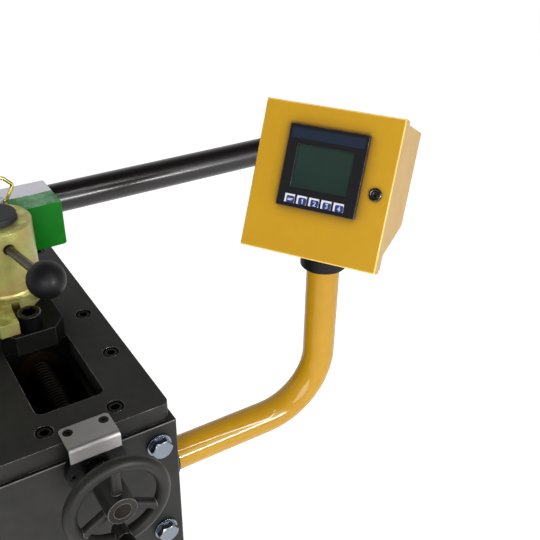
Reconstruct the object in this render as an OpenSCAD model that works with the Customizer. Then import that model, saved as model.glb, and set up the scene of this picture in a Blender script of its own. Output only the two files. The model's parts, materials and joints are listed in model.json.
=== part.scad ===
// Programmable tube bender: a black steel head on a floor cabinet, with a screw-driven
// counter-die slide on the right and a swivelling control box on a bent arm.
// The origin is on the floor, midway between the four anchor holes. X runs to the operator's
// right, Y away from the operator and Z up. Distances called "back from the front edge"
// are measured from the front edge of the top plate.

/* [Head] */
// Height of the top plate's upper face above the floor
work_h = 930; // [860:1:1000]
// Width of the top plate between the slot and the plate's right edge
plate_side = 58.25; // [54:0.25:70]
// Distance of the top plate's rear edge behind the bend axis
plate_rear = 148; // [140:1:200]
// Thickness of the top plate
plate_t = 25; // [22:0.5:30]
// Radius of the top plate's upright corners
plate_r = 9; // [3:0.5:14]
// Distance that the head stands out past the top plate all round
head_step = 5; // [2:0.5:8]
// Height of the head under the top plate
head_h = 230; // [225:1:280]
// Thickness of the head's side, rear and floor walls
head_wall = 20; // [16:0.5:22]
// Thickness of the bolted front plate
front_t = 20; // [14:0.5:22]

/* [Plate screws] */
// Thread diameter of the socket screws in the top plate
plate_screw_d = 12; // [8:0.5:12]
// Diameter of the counterbores in the top plate
plate_cbore_d = 21; // [20:0.5:24]
// Spacing of the screws along the plate's long sides
plate_pitch = 100; // [90:1:104]
// Distance of the first side screw back from the front edge
plate_first = 127.5; // [110:0.5:135]
// Distance of the side screws in from the plate's long edges
plate_inset = 22.3; // [18:0.1:24]
// Distance of the front and rear screws in from the plate's short edges
plate_end = 27; // [22:0.5:30]
// Distance of the front screws either side of the vice line
front_screw_x = 42.5; // [38:0.5:46]

/* [Vice slide] */
// Distance of the vice line to the right of the bend axis
vice_x = 85; // [85:0.5:88]
// Width of the slot in the top plate
slot_w = 83.5; // [78:0.5:84]
// Distance of the slot's front end back from the front edge
slot_front = 56.4; // [54:0.2:64]
// Distance of the slot's rear end back from the front edge
slot_rear = 372; // [360:1:376]
// Corner radius of the slot
slot_r = 9; // [4:0.5:14]
// Distance of the slide block's front face back from the front edge
block_front = 178.5; // [172:0.5:182]
// Length of the slide block
block_l = 167; // [160:1:172]
// Height of the slide block above the top plate
block_h = 27.5; // [24:0.5:32]
// Width and depth of the slide block's corner chamfers
block_cut = [16, 19];
// Outer diameter of the lead screw's thread
screw_d = 28; // [22:0.5:29]
// Pitch of the lead screw's thread
screw_pitch = 6; // [4:0.5:8]
// Depth of the lead screw's axis under the plate's upper face
screw_z = 41; // [40.5:0.5:44]
// Diameter of the handwheel over its rim
wheel_d = 124; // [100:1:140]
// Distance of the handwheel's rim in front of the plate's front edge
wheel_out = 75; // [70:1:100]
// Radius of the round bearing flange of the lead screw
flange_r = 35.5; // [32:0.5:36]

/* [Counter die] */
// Outer diameter of the tube that is bent
tube_d = 44.5; // [38:0.5:46]
// Wall of the tube that is bent
tube_wall = 2; // [1:0.1:4]
// Length of the sample tube
tube_len = 648; // [640:1:700]
// Distance of the tube's centre line back from the front edge
tube_line = 403; // [401:0.5:406]
// Height of the tube's centre above the top plate
tube_z = 94.5; // [92:0.5:97]
// Gap between the former's rim and the face of the counter die
die_gap = 1.5; // [1:0.1:3]
// Depth of the counter die, front to back
die_depth = 80.5; // [78:0.5:82]
// Height of the counter die
die_h = 68; // [64:0.5:70]
// Length of the counter die
die_len = 180; // [170:1:186]
// Distance of the hub's axis to the left of the vice line
hub_left = 4; // [0:0.5:8]
// Distance of the hub's axis back from the front edge
hub_line = 288.9; // [286:0.1:290]
// Radius of the hub's body
hub_r = 46.6; // [44:0.2:48]
// Height of the hub's top above the top plate
hub_top = 141; // [139:0.5:146]
// Height of the flange of the hub, above the slide block
hub_flange_h = 18; // [14:0.5:18.5]
// Radius of the black cap on the hub
cap_r = 29; // [22:0.5:34]
// Height of the black cap
cap_h = 9; // [6:0.5:12]
// Diameter of the hub's pivot shaft
pivot_d = 25; // [20:0.5:26]
// Diameter of the lever rod
rod_d = 12; // [10:0.5:13]
// Length of the lever rod outside the hub, to the ball's centre
rod_out = 91; // [80:1:100]
// Diameter of the ball knob
ball_d = 48; // [40:1:50]
// Diameter of the die pin
pin_d = 14; // [12:0.5:15]
// Side length of the six-sided wire ring
ring_side = 24; // [22:0.5:26]
// Wire diameter of the ring
ring_wire = 5; // [3:0.1:5.4]
// Greatest angle through which the hub swings back
hub_swing = 25; // [15:1:25]

/* [Bending drive] */
// Centre-line radius of the bend
bend_r = 89; // [86:0.5:92]
// Height of the former
former_h = 62; // [58:0.5:64]
// Diameter of the former's seat on the spindle
seat_d = 50; // [40:0.5:54]
// Module of the drive gears
gear_m = 5; // [4.8:0.1:5]
// Teeth on the large gear
gear_teeth = 42; // [42:1:42]
// Teeth on the pinion
pinion_teeth = 12; // [12:1:12]
// Width of the large gear
gear_w = 34; // [26:1:40]
// Depth of the large gear's upper face under the plate's upper face
gear_z = 96; // [92:1:110]
// Diameter of the drive motor
motor_d = 150; // [120:1:170]
// Length of the drive motor
motor_l = 220; // [180:1:260]

/* [Control box] */
// Outer diameter of the arm's tube
arm_d = 42.2; // [38:0.2:44]
// Wall of the arm's tube
arm_wall = 3.2; // [2.6:0.1:3.6]
// Distance of the arm back from the plate's front edge
arm_line = 24.7; // [24:0.1:28]
// Depth of the arm's level run under the plate's upper face
arm_z = 110.9; // [108:0.1:116]
// Bend radius of the arm
arm_r = 85; // [80:1:110]
// Distance of the arm's upright post to the right of the bend axis
post_x = 418.5; // [400:0.5:440]
// Diameter of the black swivel collar
collar_d = 59; // [54:0.5:62]
// Height of the swivel collar
collar_h = 48; // [40:0.5:52]
// Angle at which the box is turned towards the operator
box_yaw = 55.6; // [30:0.1:70]
// Angle at which the box leans back
box_pitch = 26.2; // [15:0.1:28]
// Height of the middle of the box's face above the top plate
box_z = 230.7; // [228:0.1:250]
// Distance of the middle of the box's face in front of the post's axis
box_fore = 28.5; // [26:0.5:32]
// Width of the box's door
door_w = 168.8; // [164:0.2:176]
// Height of the box's door
door_h = 177.8; // [174:0.2:184]
// Depth of the door's folded edge
door_d = 19; // [16:0.5:19]
// Depth of the whole box, door included
box_d = 101.7; // [98:0.1:104]
// Sheet thickness of the box and its door
sheet = 2; // [1.2:0.1:2.5]
// Side of the square display frame
bezel_s = 96; // [90:0.5:98]
// Distance that the display frame stands out of the door
bezel_t = 7; // [5:0.5:9]
// Width and height of the display window
window_s = [69, 51.5];
// Width and height of a key
key_s = [12, 10];
// Spacing of the keys
key_pitch = 15; // [13.5:0.1:15.4]
// Diameter of the door lock
lock_d = 15; // [12:0.5:18]

/* [Cabinet] */
// Width of the cabinet
cab_w = 330; // [310:1:350]
// Depth of the cabinet, front to back
cab_l = 560; // [540:1:580]
// Sheet thickness of the cabinet
cab_t = 4; // [3:0.5:5]
// Height of the plinth
plinth_h = 60; // [50:1:90]
// Height of the fixed strip above the cabinet door
strip_h = 120; // [110:1:150]
// Spacing of the floor anchors across the machine
anchor_x = 380; // [376:1:400]
// Spacing of the floor anchors, front to back
anchor_y = 480; // [440:1:500]
// Diameter of the floor anchor holes
anchor_d = 14; // [10:0.5:16]

/* [Hidden] */
$fn = 64;

// Clearances
part_gap = 0.3;
run_gap = 0.05;

// Head
plate_w = 2 * (vice_x + slot_w / 2 + plate_side);
plate_l = tube_line + bend_r + plate_rear;
head_top = work_h - plate_t;
head_base = head_top - head_h;
head_half = plate_w / 2 + head_step;
head_y = plate_l / 2 + head_step;
front_y = -plate_l / 2;
ledge_t = 25;

// Vice line
strip_in = slot_w / 2 - 4.75;
wing_half = slot_w / 2 + 13.25;
wing_t = 12;
strip_gap = 0.5;
screw_land = 5.7;
strip_lip = 14;
strip_half = slot_w / 2 + plate_side - plate_inset - plate_screw_d / 2 - screw_land;
block_half = slot_w / 2 - part_gap;
nut_r = screw_d / 2 + 9;
nut_flange_r = nut_r + 6;
stop_reach = screw_z - nut_flange_r - part_gap;
hub_x = vice_x - hub_left;
hub_base = block_h + part_gap;
die_front = tube_line - die_gap - die_depth;
die_lo = tube_z - die_h / 2;
die_hi = tube_z + die_h / 2;
pin_x = vice_x + 14;
pin_line = die_front + 19;
lug_r = pin_d / 2 + 5.5;
lug_t = 6;
pin_head_r = 9.3;
pin_head_h = 8;
ring_z = die_hi + part_gap + lug_t + part_gap + pin_head_h / 2;
screw_len = slot_rear + 30;
wheel_r = wheel_d / 2;
wheel_rim = 8;
grip_at = wheel_r - 12;

// Drive
spindle_y = front_y + tube_line + bend_r;
gear_r = gear_m * gear_teeth / 2;
pinion_r = gear_m * pinion_teeth / 2;
pinion_y = spindle_y - gear_r - pinion_r;
former_lo = tube_z - former_h / 2;
former_hi = tube_z + former_h / 2;
rim_r = bend_r - 0.5;
journal_r = 30;
lower_r = 25;
bearing_r = 50;
bearing_h = 26;
bearing_drop = 30;
housing_r = bearing_r + 12;
housing_flange_r = bearing_r + 38;
housing_flange_t = 14;
housing_drop = 32;
table_r = 72;
reducer_w = 170;
reducer_h = 130;
reducer_flange_t = 14;
reducer_spigot_r = 41.5;
pinion_shaft_r = 16;
table_lo = 18;

// Control box
post_r = arm_d / 2;
arm_in = 118;
facet_drop = 73;
post_top = box_z - facet_drop - 14;
collar_top = box_z - facet_drop - part_gap;
spigot_r = post_r - arm_wall - run_gap;
body_half = door_w / 2 - 0.9;
body_top = door_h / 2 - 4;
hinge_x = -door_w / 2 - 3;
bezel_up = 15.8;
bezel_x = 1;
key_z = -22.2;
key_x0 = -31;
lock_x = 66.7;
cam_reach = 13;
cam_y = door_d + part_gap + sheet + 1;

// Cabinet
cab_top = head_base;
door_gap = 2;
cab_front = -cab_l / 2;
cab_door_w = cab_w - 2 * 12;
cab_door_h = cab_top - plinth_h - strip_h - 2 * door_gap;
cab_hinge_x = -cab_door_w / 2 - 9;
cab_hinge_y = cab_front - 3.5;
cab_hinges = [plinth_h + 70, plinth_h + cab_door_h - 90];
latch_in = 24;

// Places a child at x, at a distance back from the plate's front edge, and at a height
// above the plate's upper face
module on_plate(x, back, z) {
    translate([x, front_y + back, work_h + z]) children();
}

// Upright cylinder from height z0 to z1
module post(r, z0, z1) {
    translate([0, 0, z0]) cylinder(r = r, h = z1 - z0);
}

// Cylinder along Y from y0 to y1
module rod_y(r, y0, y1) {
    translate([0, y0, 0]) rotate([-90, 0, 0]) cylinder(r = r, h = y1 - y0);
}

// Cylinder along X from x0 to x1
module rod_x(r, x0, x1) {
    translate([x0, 0, 0]) rotate([0, 90, 0]) cylinder(r = r, h = x1 - x0);
}

// Rectangle with round corners, centred
module round_rect(w, l, r) {
    square([w - 2 * r, l], center = true);
    square([w, l - 2 * r], center = true);
    for (x = [-1, 1], y = [-1, 1]) translate([x * (w / 2 - r), y * (l / 2 - r)]) circle(r);
}

// Block between two corners
module block(a, b) {
    translate(a) cube(b - a);
}

// Flat link with two round ends: a circle at p, a circle at q and their outer tangents
module link(p, rp, q, rq) {
    d = norm(q - p);
    dir = atan2(q[1] - p[1], q[0] - p[0]);
    lean = acos((rp - rq) / d);
    translate(p) circle(rp);
    translate(q) circle(rq);
    polygon([p + rp * [cos(dir + lean), sin(dir + lean)], p + rp * [cos(dir - lean), sin(dir - lean)],
        q + rq * [cos(dir - lean), sin(dir - lean)], q + rq * [cos(dir + lean), sin(dir + lean)]]);
}

// Socket screw standing with its head's underside at z = 0, shank down
module socket_screw(d, l, head_d, head_h, hex) {
    difference() {
        union() {
            post(head_d / 2, 0, head_h - 1);
            translate([0, 0, head_h - 1]) cylinder(r1 = head_d / 2, r2 = head_d / 2 - 1, h = 1);
            post(d / 2, -l, 0);
        }
        translate([0, 0, head_h * 0.4]) cylinder(d = hex / cos(30), h = head_h, $fn = 6);
    }
}

// Countersunk screw with its flat face at z = 0
module flat_screw(d, l, hex) {
    difference() {
        union() {
            translate([0, 0, -d / 2]) cylinder(r1 = d / 2, r2 = d, h = d / 2);
            post(d / 2, -l, -d / 2);
        }
        translate([0, 0, -d * 0.45]) cylinder(d = hex / cos(30), h = d, $fn = 6);
    }
}

// Places of the socket screws in the top plate
function plate_spots() = concat(
    [for (s = [-1, 1], k = [0:4]) [s * (plate_w / 2 - plate_inset), plate_first + k * plate_pitch]],
    [for (s = [-1, 1], t = [-1, 1]) [s * vice_x + t * front_screw_x, plate_end]],
    [for (s = [-1, 1], t = [-1, 1]) [s * vice_x + t * front_screw_x, plate_l - plate_end]]);

// Places of the bolts in the front plate, across and under the plate's upper face
front_bolt_d = 16;
front_bolt_af = 24;
front_bolt_head = 10;
front_bolt_len = 36;
front_bolt_rows = [53, 200];
front_spots = [for (s = [-1, 1], z = front_bolt_rows) [s * (plate_w / 2 - 20), -z]];

// HEAD

module top_plate() {
    color([0.17, 0.17, 0.17]) difference() {
        translate([0, 0, head_top]) linear_extrude(plate_t) round_rect(plate_w, plate_l, plate_r);
        on_plate(vice_x, (slot_front + slot_rear) / 2, -plate_t - 1)
            linear_extrude(plate_t + 2) round_rect(slot_w, slot_rear - slot_front, slot_r);
        for (p = plate_spots()) on_plate(p[0], p[1], 0) {
            post(plate_cbore_d / 2, -plate_screw_d - 1, 1);
            post(plate_screw_d / 2 + 0.5, -plate_t - 1, 0);
        }
        translate([0, spindle_y, 0]) post(housing_r, head_top - 1, work_h + 1);
        for (s = [-1, 1]) on_plate(vice_x + s * guard_screw_x, guard_screw_y, 0) {
            post(3, -16, 1);
        }
    }
}

module plate_screws() {
    color([0.12, 0.12, 0.12]) for (p = plate_spots()) on_plate(p[0], p[1], -plate_screw_d - 1)
        socket_screw(plate_screw_d, plate_t + 6, plate_screw_d * 1.5, plate_screw_d, 10);
}

module head_frame() {
    in_x = head_half - head_wall;
    back = head_y - head_wall;
    front = front_y - head_step + front_t;
    color([0.15, 0.15, 0.15]) difference() {
        union() {
            block([-head_half, front, head_base], [-in_x, head_y, head_top]);
            block([in_x, front, head_base], [head_half, head_y, head_top]);
            block([-in_x, back, head_base], [in_x, head_y, head_top]);
            block([-in_x, front, head_base], [in_x, back, head_base + head_wall]);
            for (s = [-1, 1]) block([s > 0 ? ledge_x : -in_x, front, head_top - ledge_t],
                [s > 0 ? in_x : -ledge_x, back, head_top]);
            block([-ledge_x, front, head_top - ledge_t], [ledge_x, front + 28, head_top]);
            block([-ledge_x, back - 27, head_top - ledge_t], [ledge_x, back, head_top]);
            for (s = [-1, 1], z = front_bolt_rows) block([s > 0 ? ledge_x : -in_x, front, work_h - z - 25],
                [s > 0 ? in_x : -ledge_x, front + 35, work_h - z + 25]);
        }
        for (p = plate_spots()) on_plate(p[0], p[1], 0)
            post(plate_screw_d / 2, -plate_screw_d - plate_t - 8, 1);
        for (p = front_spots) on_plate(p[0], 0, p[1]) rod_y(front_bolt_d / 2, -head_step, 46);
        on_plate(vice_x, 0, -screw_z) rod_y(screw_d / 2 + 4, 0, 60);
        on_plate(0, arm_line, -arm_z) rod_x(post_r + run_gap, in_x - 1, head_half + 1);
        translate([0, spindle_y, 0]) post(lower_seat_r, head_base - 1, head_base + head_wall + 1);
        translate([0, pinion_y, 0]) post(reducer_spigot_r + 0.5, head_base - 1, head_base + head_wall + 1);
    }
}
ledge_x = vice_x + strip_half + 0.8;
lower_seat_r = 40;

module front_plate() {
    color([0.16, 0.16, 0.16]) difference() {
        block([-head_half, front_y - head_step, head_base],
            [head_half, front_y - head_step + front_t, head_top]);
        for (p = front_spots) on_plate(p[0], 0, p[1])
            rod_y(front_bolt_d / 2 + 0.5, -head_step - 1, front_t);
        on_plate(vice_x, 0, -screw_z) rod_y(flange_neck_r, -head_step - 1, front_t);
        for (a = flange_turns) on_plate(vice_x + flange_pcd_r * cos(a), 0, flange_pcd_r * sin(a) - screw_z)
            rod_y(3, -head_step - 1, front_t);
        on_plate(0, arm_line, -arm_z) rod_x(post_r, arm_in, head_half + 1);
    }
}

module front_bolts() {
    color([0.75, 0.78, 0.8]) for (p = front_spots) on_plate(p[0], -head_step - 3, p[1])
        rotate([90, 0, 0]) {
            difference() {
                cylinder(d = front_bolt_af / cos(30), h = front_bolt_head, $fn = 6);
                translate([0, 0, front_bolt_head - 1.4]) difference() {
                    cylinder(r = 20, h = 4);
                    translate([0, 0, -1]) cylinder(r1 = 15, r2 = 8, h = 5);
                }
            }
            post(front_bolt_d / 2, -front_bolt_len, 0);
        }
}

module front_washers() {
    color([0.78, 0.8, 0.82]) for (p = front_spots) on_plate(p[0], -head_step, p[1])
        rotate([90, 0, 0]) difference() {
            cylinder(r = 15.5, h = 3);
            translate([0, 0, -1]) cylinder(r = front_bolt_d / 2, h = 5);
        }
}

module guide_strips() {
    color([0.45, 0.46, 0.48]) for (s = [-1, 1]) on_plate(vice_x, 0, -plate_t)
        union() {
            block([s > 0 ? wing_half + strip_gap : -strip_half, slot_front - 13, -wing_t - strip_lip],
                [s > 0 ? strip_half : -wing_half - strip_gap, slot_rear + 8, 0]);
            block([s > 0 ? strip_in : -wing_half - strip_gap, slot_front - 13, -wing_t - strip_lip],
                [s > 0 ? wing_half + strip_gap : -strip_in, slot_rear + 8, -wing_t - strip_gap]);
        }
}

guard_w = 60;
guard_back = 19;
guard_fore = 20;
guard_t = 3;
guard_screw_x = 21.3;
guard_screw_y = 9;

module screw_guard() {
    bend = 5;
    color([0.62, 0.62, 0.61]) difference() {
        on_plate(vice_x, 0, 0) union() {
            linear_extrude(guard_t) {
                translate([-guard_w / 2, -guard_fore + bend])
                    square([guard_w, guard_fore + guard_back - bend - 5]);
                translate([-guard_w / 2 + 5, 0]) square([guard_w - 10, guard_back]);
                for (s = [-1, 1]) translate([s * (guard_w / 2 - 5), guard_back - 5]) circle(5);
            }
            translate([-guard_w / 2, -guard_fore + bend, guard_t - bend]) rotate([0, 90, 0])
                difference() {
                    cylinder(r = bend, h = guard_w);
                    translate([0, 0, -1]) cylinder(r = bend - guard_t, h = guard_w + 2);
                    translate([-bend - 1, 0, -1]) cube([2 * bend + 2, bend + 1, guard_w + 2]);
                    translate([0, -bend - 1, -1]) cube([bend + 1, 2 * bend + 2, guard_w + 2]);
                }
            block([-guard_w / 2, -guard_fore, guard_t - 20],
                [guard_w / 2, guard_t - guard_fore, guard_t - bend]);
        }
        for (s = [-1, 1]) on_plate(vice_x + s * guard_screw_x, guard_screw_y, guard_t) {
            translate([0, 0, -3]) cylinder(r1 = 3, r2 = 6, h = 3);
            post(6, 0, 1);
            post(3, -5, 0);
        }
    }
}

module guard_screws() {
    color([0.2, 0.2, 0.22]) for (s = [-1, 1])
        on_plate(vice_x + s * guard_screw_x, guard_screw_y, guard_t) flat_screw(6, 16, 4);
}

// VICE SLIDE

module lead_screw() {
    r = screw_d / 2;
    depth = screw_pitch / 2 - 0.2;
    y0 = slot_front - 12;
    turns = floor((slot_rear + 4 - y0) / screw_pitch);
    y1 = y0 + turns * screw_pitch;
    ridge = concat([[0, y0]], [for (k = [0:turns - 1], p = [[r - depth, 0], [r - depth, 0.28],
        [r, 0.42], [r, 0.86]]) [p[0], y0 + (k + p[1]) * screw_pitch]], [[r - depth, y1], [0, y1]]);
    color([0.35, 0.36, 0.38]) on_plate(vice_x, 0, -screw_z) {
        rotate([-90, 0, 0]) rotate_extrude() polygon(ridge);
        rod_y(12, front_t - head_step + 2, y0 + 0.5);
        rod_y(10, -wheel_out - 14, front_t - head_step + 2);
        rod_y(8, y1 - 0.5, screw_len);
    }
}

flange_neck_r = screw_z - plate_t - 2;
flange_pcd_r = 28;
flange_turns = [0, 180, 240, 300];

module screw_flange() {
    color([0.1, 0.1, 0.1]) on_plate(vice_x, 0, -screw_z) difference() {
        union() {
            rod_y(flange_r, -head_step - 11, -head_step);
            rod_y(17, -head_step - 22, -head_step - 11);
            rod_y(flange_neck_r, -head_step, front_t - head_step);
        }
        rod_y(10 + run_gap, -head_step - 30, front_t + 10);
        for (a = flange_turns) translate([flange_pcd_r * cos(a), 0, flange_pcd_r * sin(a)]) {
            rod_y(3, -head_step - 12, 5);
            rod_y(5.2, -head_step - 12, -head_step - 5);
        }
    }
}

module flange_screws() {
    color([0.14, 0.14, 0.15])
        for (a = flange_turns) on_plate(vice_x + flange_pcd_r * cos(a), -head_step - 5,
            flange_pcd_r * sin(a) - screw_z)
            rotate([90, 0, 0]) socket_screw(6, 20, 10, 6, 5);
}

module tail_bearing() {
    color([0.2, 0.2, 0.21]) on_plate(vice_x, 0, -plate_t) difference() {
        block([-30, slot_rear + 10, -screw_z + plate_t - 24], [30, slot_rear + 28, 0]);
        translate([0, 0, plate_t - screw_z]) rod_y(8 + run_gap, slot_rear, slot_rear + 40);
    }
}

module handwheel() {
    color([0.13, 0.13, 0.14]) on_plate(vice_x, -wheel_out, -screw_z) difference() {
        union() {
            rotate([90, 0, 0]) rotate_extrude() translate([wheel_r - wheel_rim, 0]) circle(wheel_rim);
            rod_y(17, -14, 30);
            for (a = [30:120:270]) rotate([0, a, 0]) rod_x(6, 8, wheel_r - wheel_rim);
            translate([0, 0, -grip_at]) rod_y(9, -9, 9);
        }
        rod_y(10, -20, 40);
        translate([0, 0, -grip_at]) rod_y(5 + run_gap, -12, 12);
    }
}

module crank_handle() {
    color([0.1, 0.1, 0.1]) on_plate(vice_x, -wheel_out, -screw_z - grip_at) {
        rod_y(5, -20, 10);
        rod_y(7.5, 9.3, 12);
        rotate([90, 0, 0]) translate([0, 0, 9.3]) rotate_extrude()
            polygon([[0, 0], [9, 0], [11, 12], [11.5, 40], [13, 62], [12, 74], [7, 80], [0, 81]]);
    }
}

module slide_body() {
    color([0.13, 0.13, 0.13]) on_plate(vice_x, block_front, 0) difference() {
        union() {
            block([-block_half, 11, -plate_t - part_gap], [block_half, block_l - 4, 0]);
            block([-wing_half, 11, -plate_t - wing_t], [wing_half, block_l - 4, -plate_t - part_gap]);
            block([-strip_in + 1, 11, -screw_z - nut_r - 5],
                [strip_in - 1, block_l - 4, -plate_t - wing_t]);
        }
        translate([0, 0, -screw_z]) rod_y(nut_r, 0, 62);
        translate([0, 0, -screw_z]) rod_y(nut_flange_r, 0, 18);
        translate([0, 0, -screw_z]) rod_y(screw_d / 2 + 1.5, 0, block_l + 1);
        translate([0, stop_line - block_front, 0]) post(10, -22, 1);
        translate([-hub_left, hub_line - block_front, 0]) post(10, -22, 1);
    }
}

module lead_nut() {
    color([0.72, 0.55, 0.25]) on_plate(vice_x, block_front, -screw_z) difference() {
        union() {
            rod_y(nut_r, 11, 62);
            rod_y(nut_flange_r, 11, 18);
        }
        rod_y(screw_d / 2 + run_gap, 0, 70);
    }
}

stop_line = block_front + 20.5;

module slide_block() {
    w = block_half;
    c = block_cut;
    color([0.14, 0.14, 0.14]) difference() {
        on_plate(vice_x, block_front, 0) linear_extrude(block_h)
            polygon([[-w + c[0], 0], [w - c[0], 0], [w, c[1]], [w, block_l - c[1]], [w - c[0], block_l],
                [-w + c[0], block_l], [-w, block_l - c[1]], [-w, c[1]]]);
        on_plate(vice_x, stop_line, 0) post(stop_screw_d / 2, -1, block_h + 1);
        on_plate(hub_x, hub_line, 0) {
            post(pivot_stem_r, -1, block_h + 1);
            post(pivot_foot_r, block_h - pivot_foot_h, block_h + 1);
        }
    }
}

module stop_screw() {
    color([0.08, 0.08, 0.09]) on_plate(vice_x, stop_line, block_h)
        socket_screw(stop_screw_d, block_h + stop_reach, 1.5 * stop_screw_d, stop_screw_d, 0.85 * stop_screw_d);
}

stop_screw_d = 20;
pivot_foot_r = 18;
pivot_foot_h = 9;
pivot_stem_r = 10;

module pivot_shaft() {
    color([0.55, 0.56, 0.58]) on_plate(hub_x, hub_line, 0) {
        post(pivot_d / 2, hub_base, hub_top - 5);
        post(pivot_foot_r, block_h - pivot_foot_h, block_h);
        post(pivot_d / 2 - 1, block_h - 1, hub_base + 1);
        post(pivot_stem_r, -20, block_h - pivot_foot_h + 1);
    }
}

// COUNTER DIE AND ITS HUB

// Space behind the die's front face, kept free in the hub's frame while the hub swings back:
// above the face's line at rest and above the same line turned about the pin
module die_sweep() {
    back = pin_line - die_front + 0.6;
    turn = back * tan(hub_swing / 2);
    on_plate(pin_x, pin_line, die_lo - part_gap) linear_extrude(die_h + 2 * part_gap)
        polygon([[-140, -back - (turn + 140) * tan(hub_swing)], [turn, -back], [140, -back],
            [140, 70], [-140, 70]]);
}

module hub_shape() {
    f = hub_flange_h;
    on_plate(hub_x, hub_line, 0) rotate_extrude() polygon([[0, hub_base], [hub_r + 3, hub_base],
        [hub_r + 3, hub_base + f], [hub_r + 1, hub_base + f + 2], [hub_r, hub_base + f + 5],
        [hub_r, hub_top - 3], [hub_r - 3, hub_top], [0, hub_top]]);
    on_plate(hub_x, hub_line, hub_base) linear_extrude(f) polygon([[-45, -88], [-37, -103.5],
        [-13, -103.5], [-12, -70], [-8, -49], [-8, -20], [-44.5, -10]]);
    difference() {
        on_plate(hub_x, hub_line, hub_base) linear_extrude(f)
            polygon([[-20, -57], [0.4, -57], [0.4, -72], [50, -22.4], [50, 5], [-20, 5]]);
        on_plate(hub_x, hub_line, hub_base) translate([0, -70.9, 0]) rotate([0, 0, 45])
            rotate([-leg_slope, 0, 0]) block([-60, -40, -20], [100, 0, 60]);
    }
    for (z = [[die_lo - part_gap - 12, die_lo], [die_hi, die_hi + part_gap + lug_t]])
        on_plate(0, 0, z[0]) linear_extrude(z[1] - z[0])
            link([hub_x, hub_line], 30, [pin_x, pin_line], lug_r);
}
leg_slope = 27.6;

// The rod leaves the hub's front at this point and points down and to the right
rod_yaw = 12.9;
rod_drop = 3.2;
rod_side = -2.1;
rod_line = 246;
rod_z = 117.8;
module on_rod() {
    on_plate(vice_x + rod_side, rod_line, rod_z) rotate([rod_drop, 0, rod_yaw]) children();
}

module vice_hub() {
    color([0.74, 0.7, 0.45]) difference() {
        hub_shape();
        die_sweep();
        on_plate(hub_x, hub_line, 0) {
            post(pivot_d / 2 + run_gap, 0, hub_top + 1);
            post(16, hub_top - 3.5, hub_top + 1);
        }
        on_plate(pin_x, pin_line, 0) {
            post(pin_d / 2 + run_gap, die_lo - 20, die_hi + 20);
            post(pin_head_r + part_gap, die_hi + lug_t + 1.5 * part_gap, hub_top + 1);
        }
        on_rod() rod_y(rod_d / 2 + 0.02, -30, 22);
    }
}

module hub_cap() {
    color([0.22, 0.22, 0.23]) on_plate(hub_x, hub_line, hub_top) {
        post(15.9, -3, 0);
        rotate_extrude() polygon([[0, 0], [cap_r, 0], [cap_r, cap_h - 2], [cap_r - 0.6, cap_h - 0.9],
            [cap_r - 2, cap_h - 0.3], [0, cap_h]]);
    }
}

module lever_rod() {
    color([0.5, 0.5, 0.48]) on_rod() rod_y(rod_d / 2, -rod_out, 20);
}

module ball_knob() {
    color([0.1, 0.1, 0.11]) on_rod() translate([0, -rod_out, 0]) difference() {
        sphere(d = ball_d);
        rod_y(rod_d / 2, 0, ball_d);
    }
}

module die_pin() {
    color([0.6, 0.58, 0.5]) on_plate(pin_x, pin_line, 0) difference() {
        union() {
            post(pin_d / 2, die_lo - 18, die_hi + lug_t + 3);
            post(pin_head_r, die_hi + lug_t + 2 * part_gap, die_hi + lug_t + 2 * part_gap + pin_head_h);
        }
        translate([0, 0, ring_z]) rod_x(ring_wire / 2 + run_gap, -20, 20);
    }
}

module pin_ring() {
    a = ring_side;
    color([0.75, 0.72, 0.3]) on_plate(pin_x, pin_line, ring_z + a * cos(30)) rotate([90, 0, 0])
        for (k = [0:5]) rotate(60 * k) intersection() {
            translate([0, -a * cos(30), 0]) rod_x(ring_wire / 2, -a, a);
            translate([0, 0, -ring_wire]) linear_extrude(2 * ring_wire)
                polygon([[0, 0], [-a, -a * sqrt(3)], [a, -a * sqrt(3)]]);
        }
}

module counter_die() {
    edge = 3;
    x0 = 0;
    x1 = die_len;
    color([0.1, 0.45, 0.15]) difference() {
        union() {
            on_plate(0, die_front, 0) block([x0, 0, die_lo + edge], [x1, die_depth, die_hi]);
            on_plate(0, die_front, 0)
                block([x0 + edge, edge, die_lo], [x1 - edge, die_depth, die_lo + edge]);
            on_plate(0, die_front + edge, die_lo + edge) rod_x(edge, x0 + edge, x1 - edge);
            for (x = [x0 + edge, x1 - edge]) {
                on_plate(x, 0, die_lo + edge) rod_y(edge, die_front + edge, die_front + die_depth);
                on_plate(x, die_front + edge, die_lo + edge) sphere(edge);
            }
        }
        on_plate(0, tube_line, tube_z) rod_x(tube_d / 2 + part_gap, x0 - 1, x1 + 1);
        on_plate(pin_x, pin_line, 0) post(pin_d / 2 + run_gap, die_lo - 1, die_hi + 1);
    }
}

// BENDING DRIVE

module bearing_housing() {
    color([0.13, 0.13, 0.13]) translate([0, spindle_y, work_h]) difference() {
        union() {
            post(housing_r, -plate_t - housing_drop, 0);
            post(housing_flange_r, 0, housing_flange_t);
        }
        post(bearing_r, -plate_t - housing_drop - 1, bearing_h - plate_t - bearing_drop);
        post(journal_r + 2, -plate_t - housing_drop - 1, housing_flange_t + 1);
    }
}

module upper_bearing() {
    color([0.7, 0.71, 0.73]) translate([0, spindle_y, work_h - plate_t - bearing_drop]) difference() {
        post(bearing_r, 0, bearing_h);
        post(journal_r + run_gap, -1, bearing_h + 1);
    }
}

module lower_bearing() {
    color([0.7, 0.71, 0.73]) translate([0, spindle_y, head_base]) difference() {
        post(lower_seat_r, 0, head_wall);
        post(lower_r + run_gap, -1, head_wall + 1);
    }
}

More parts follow.
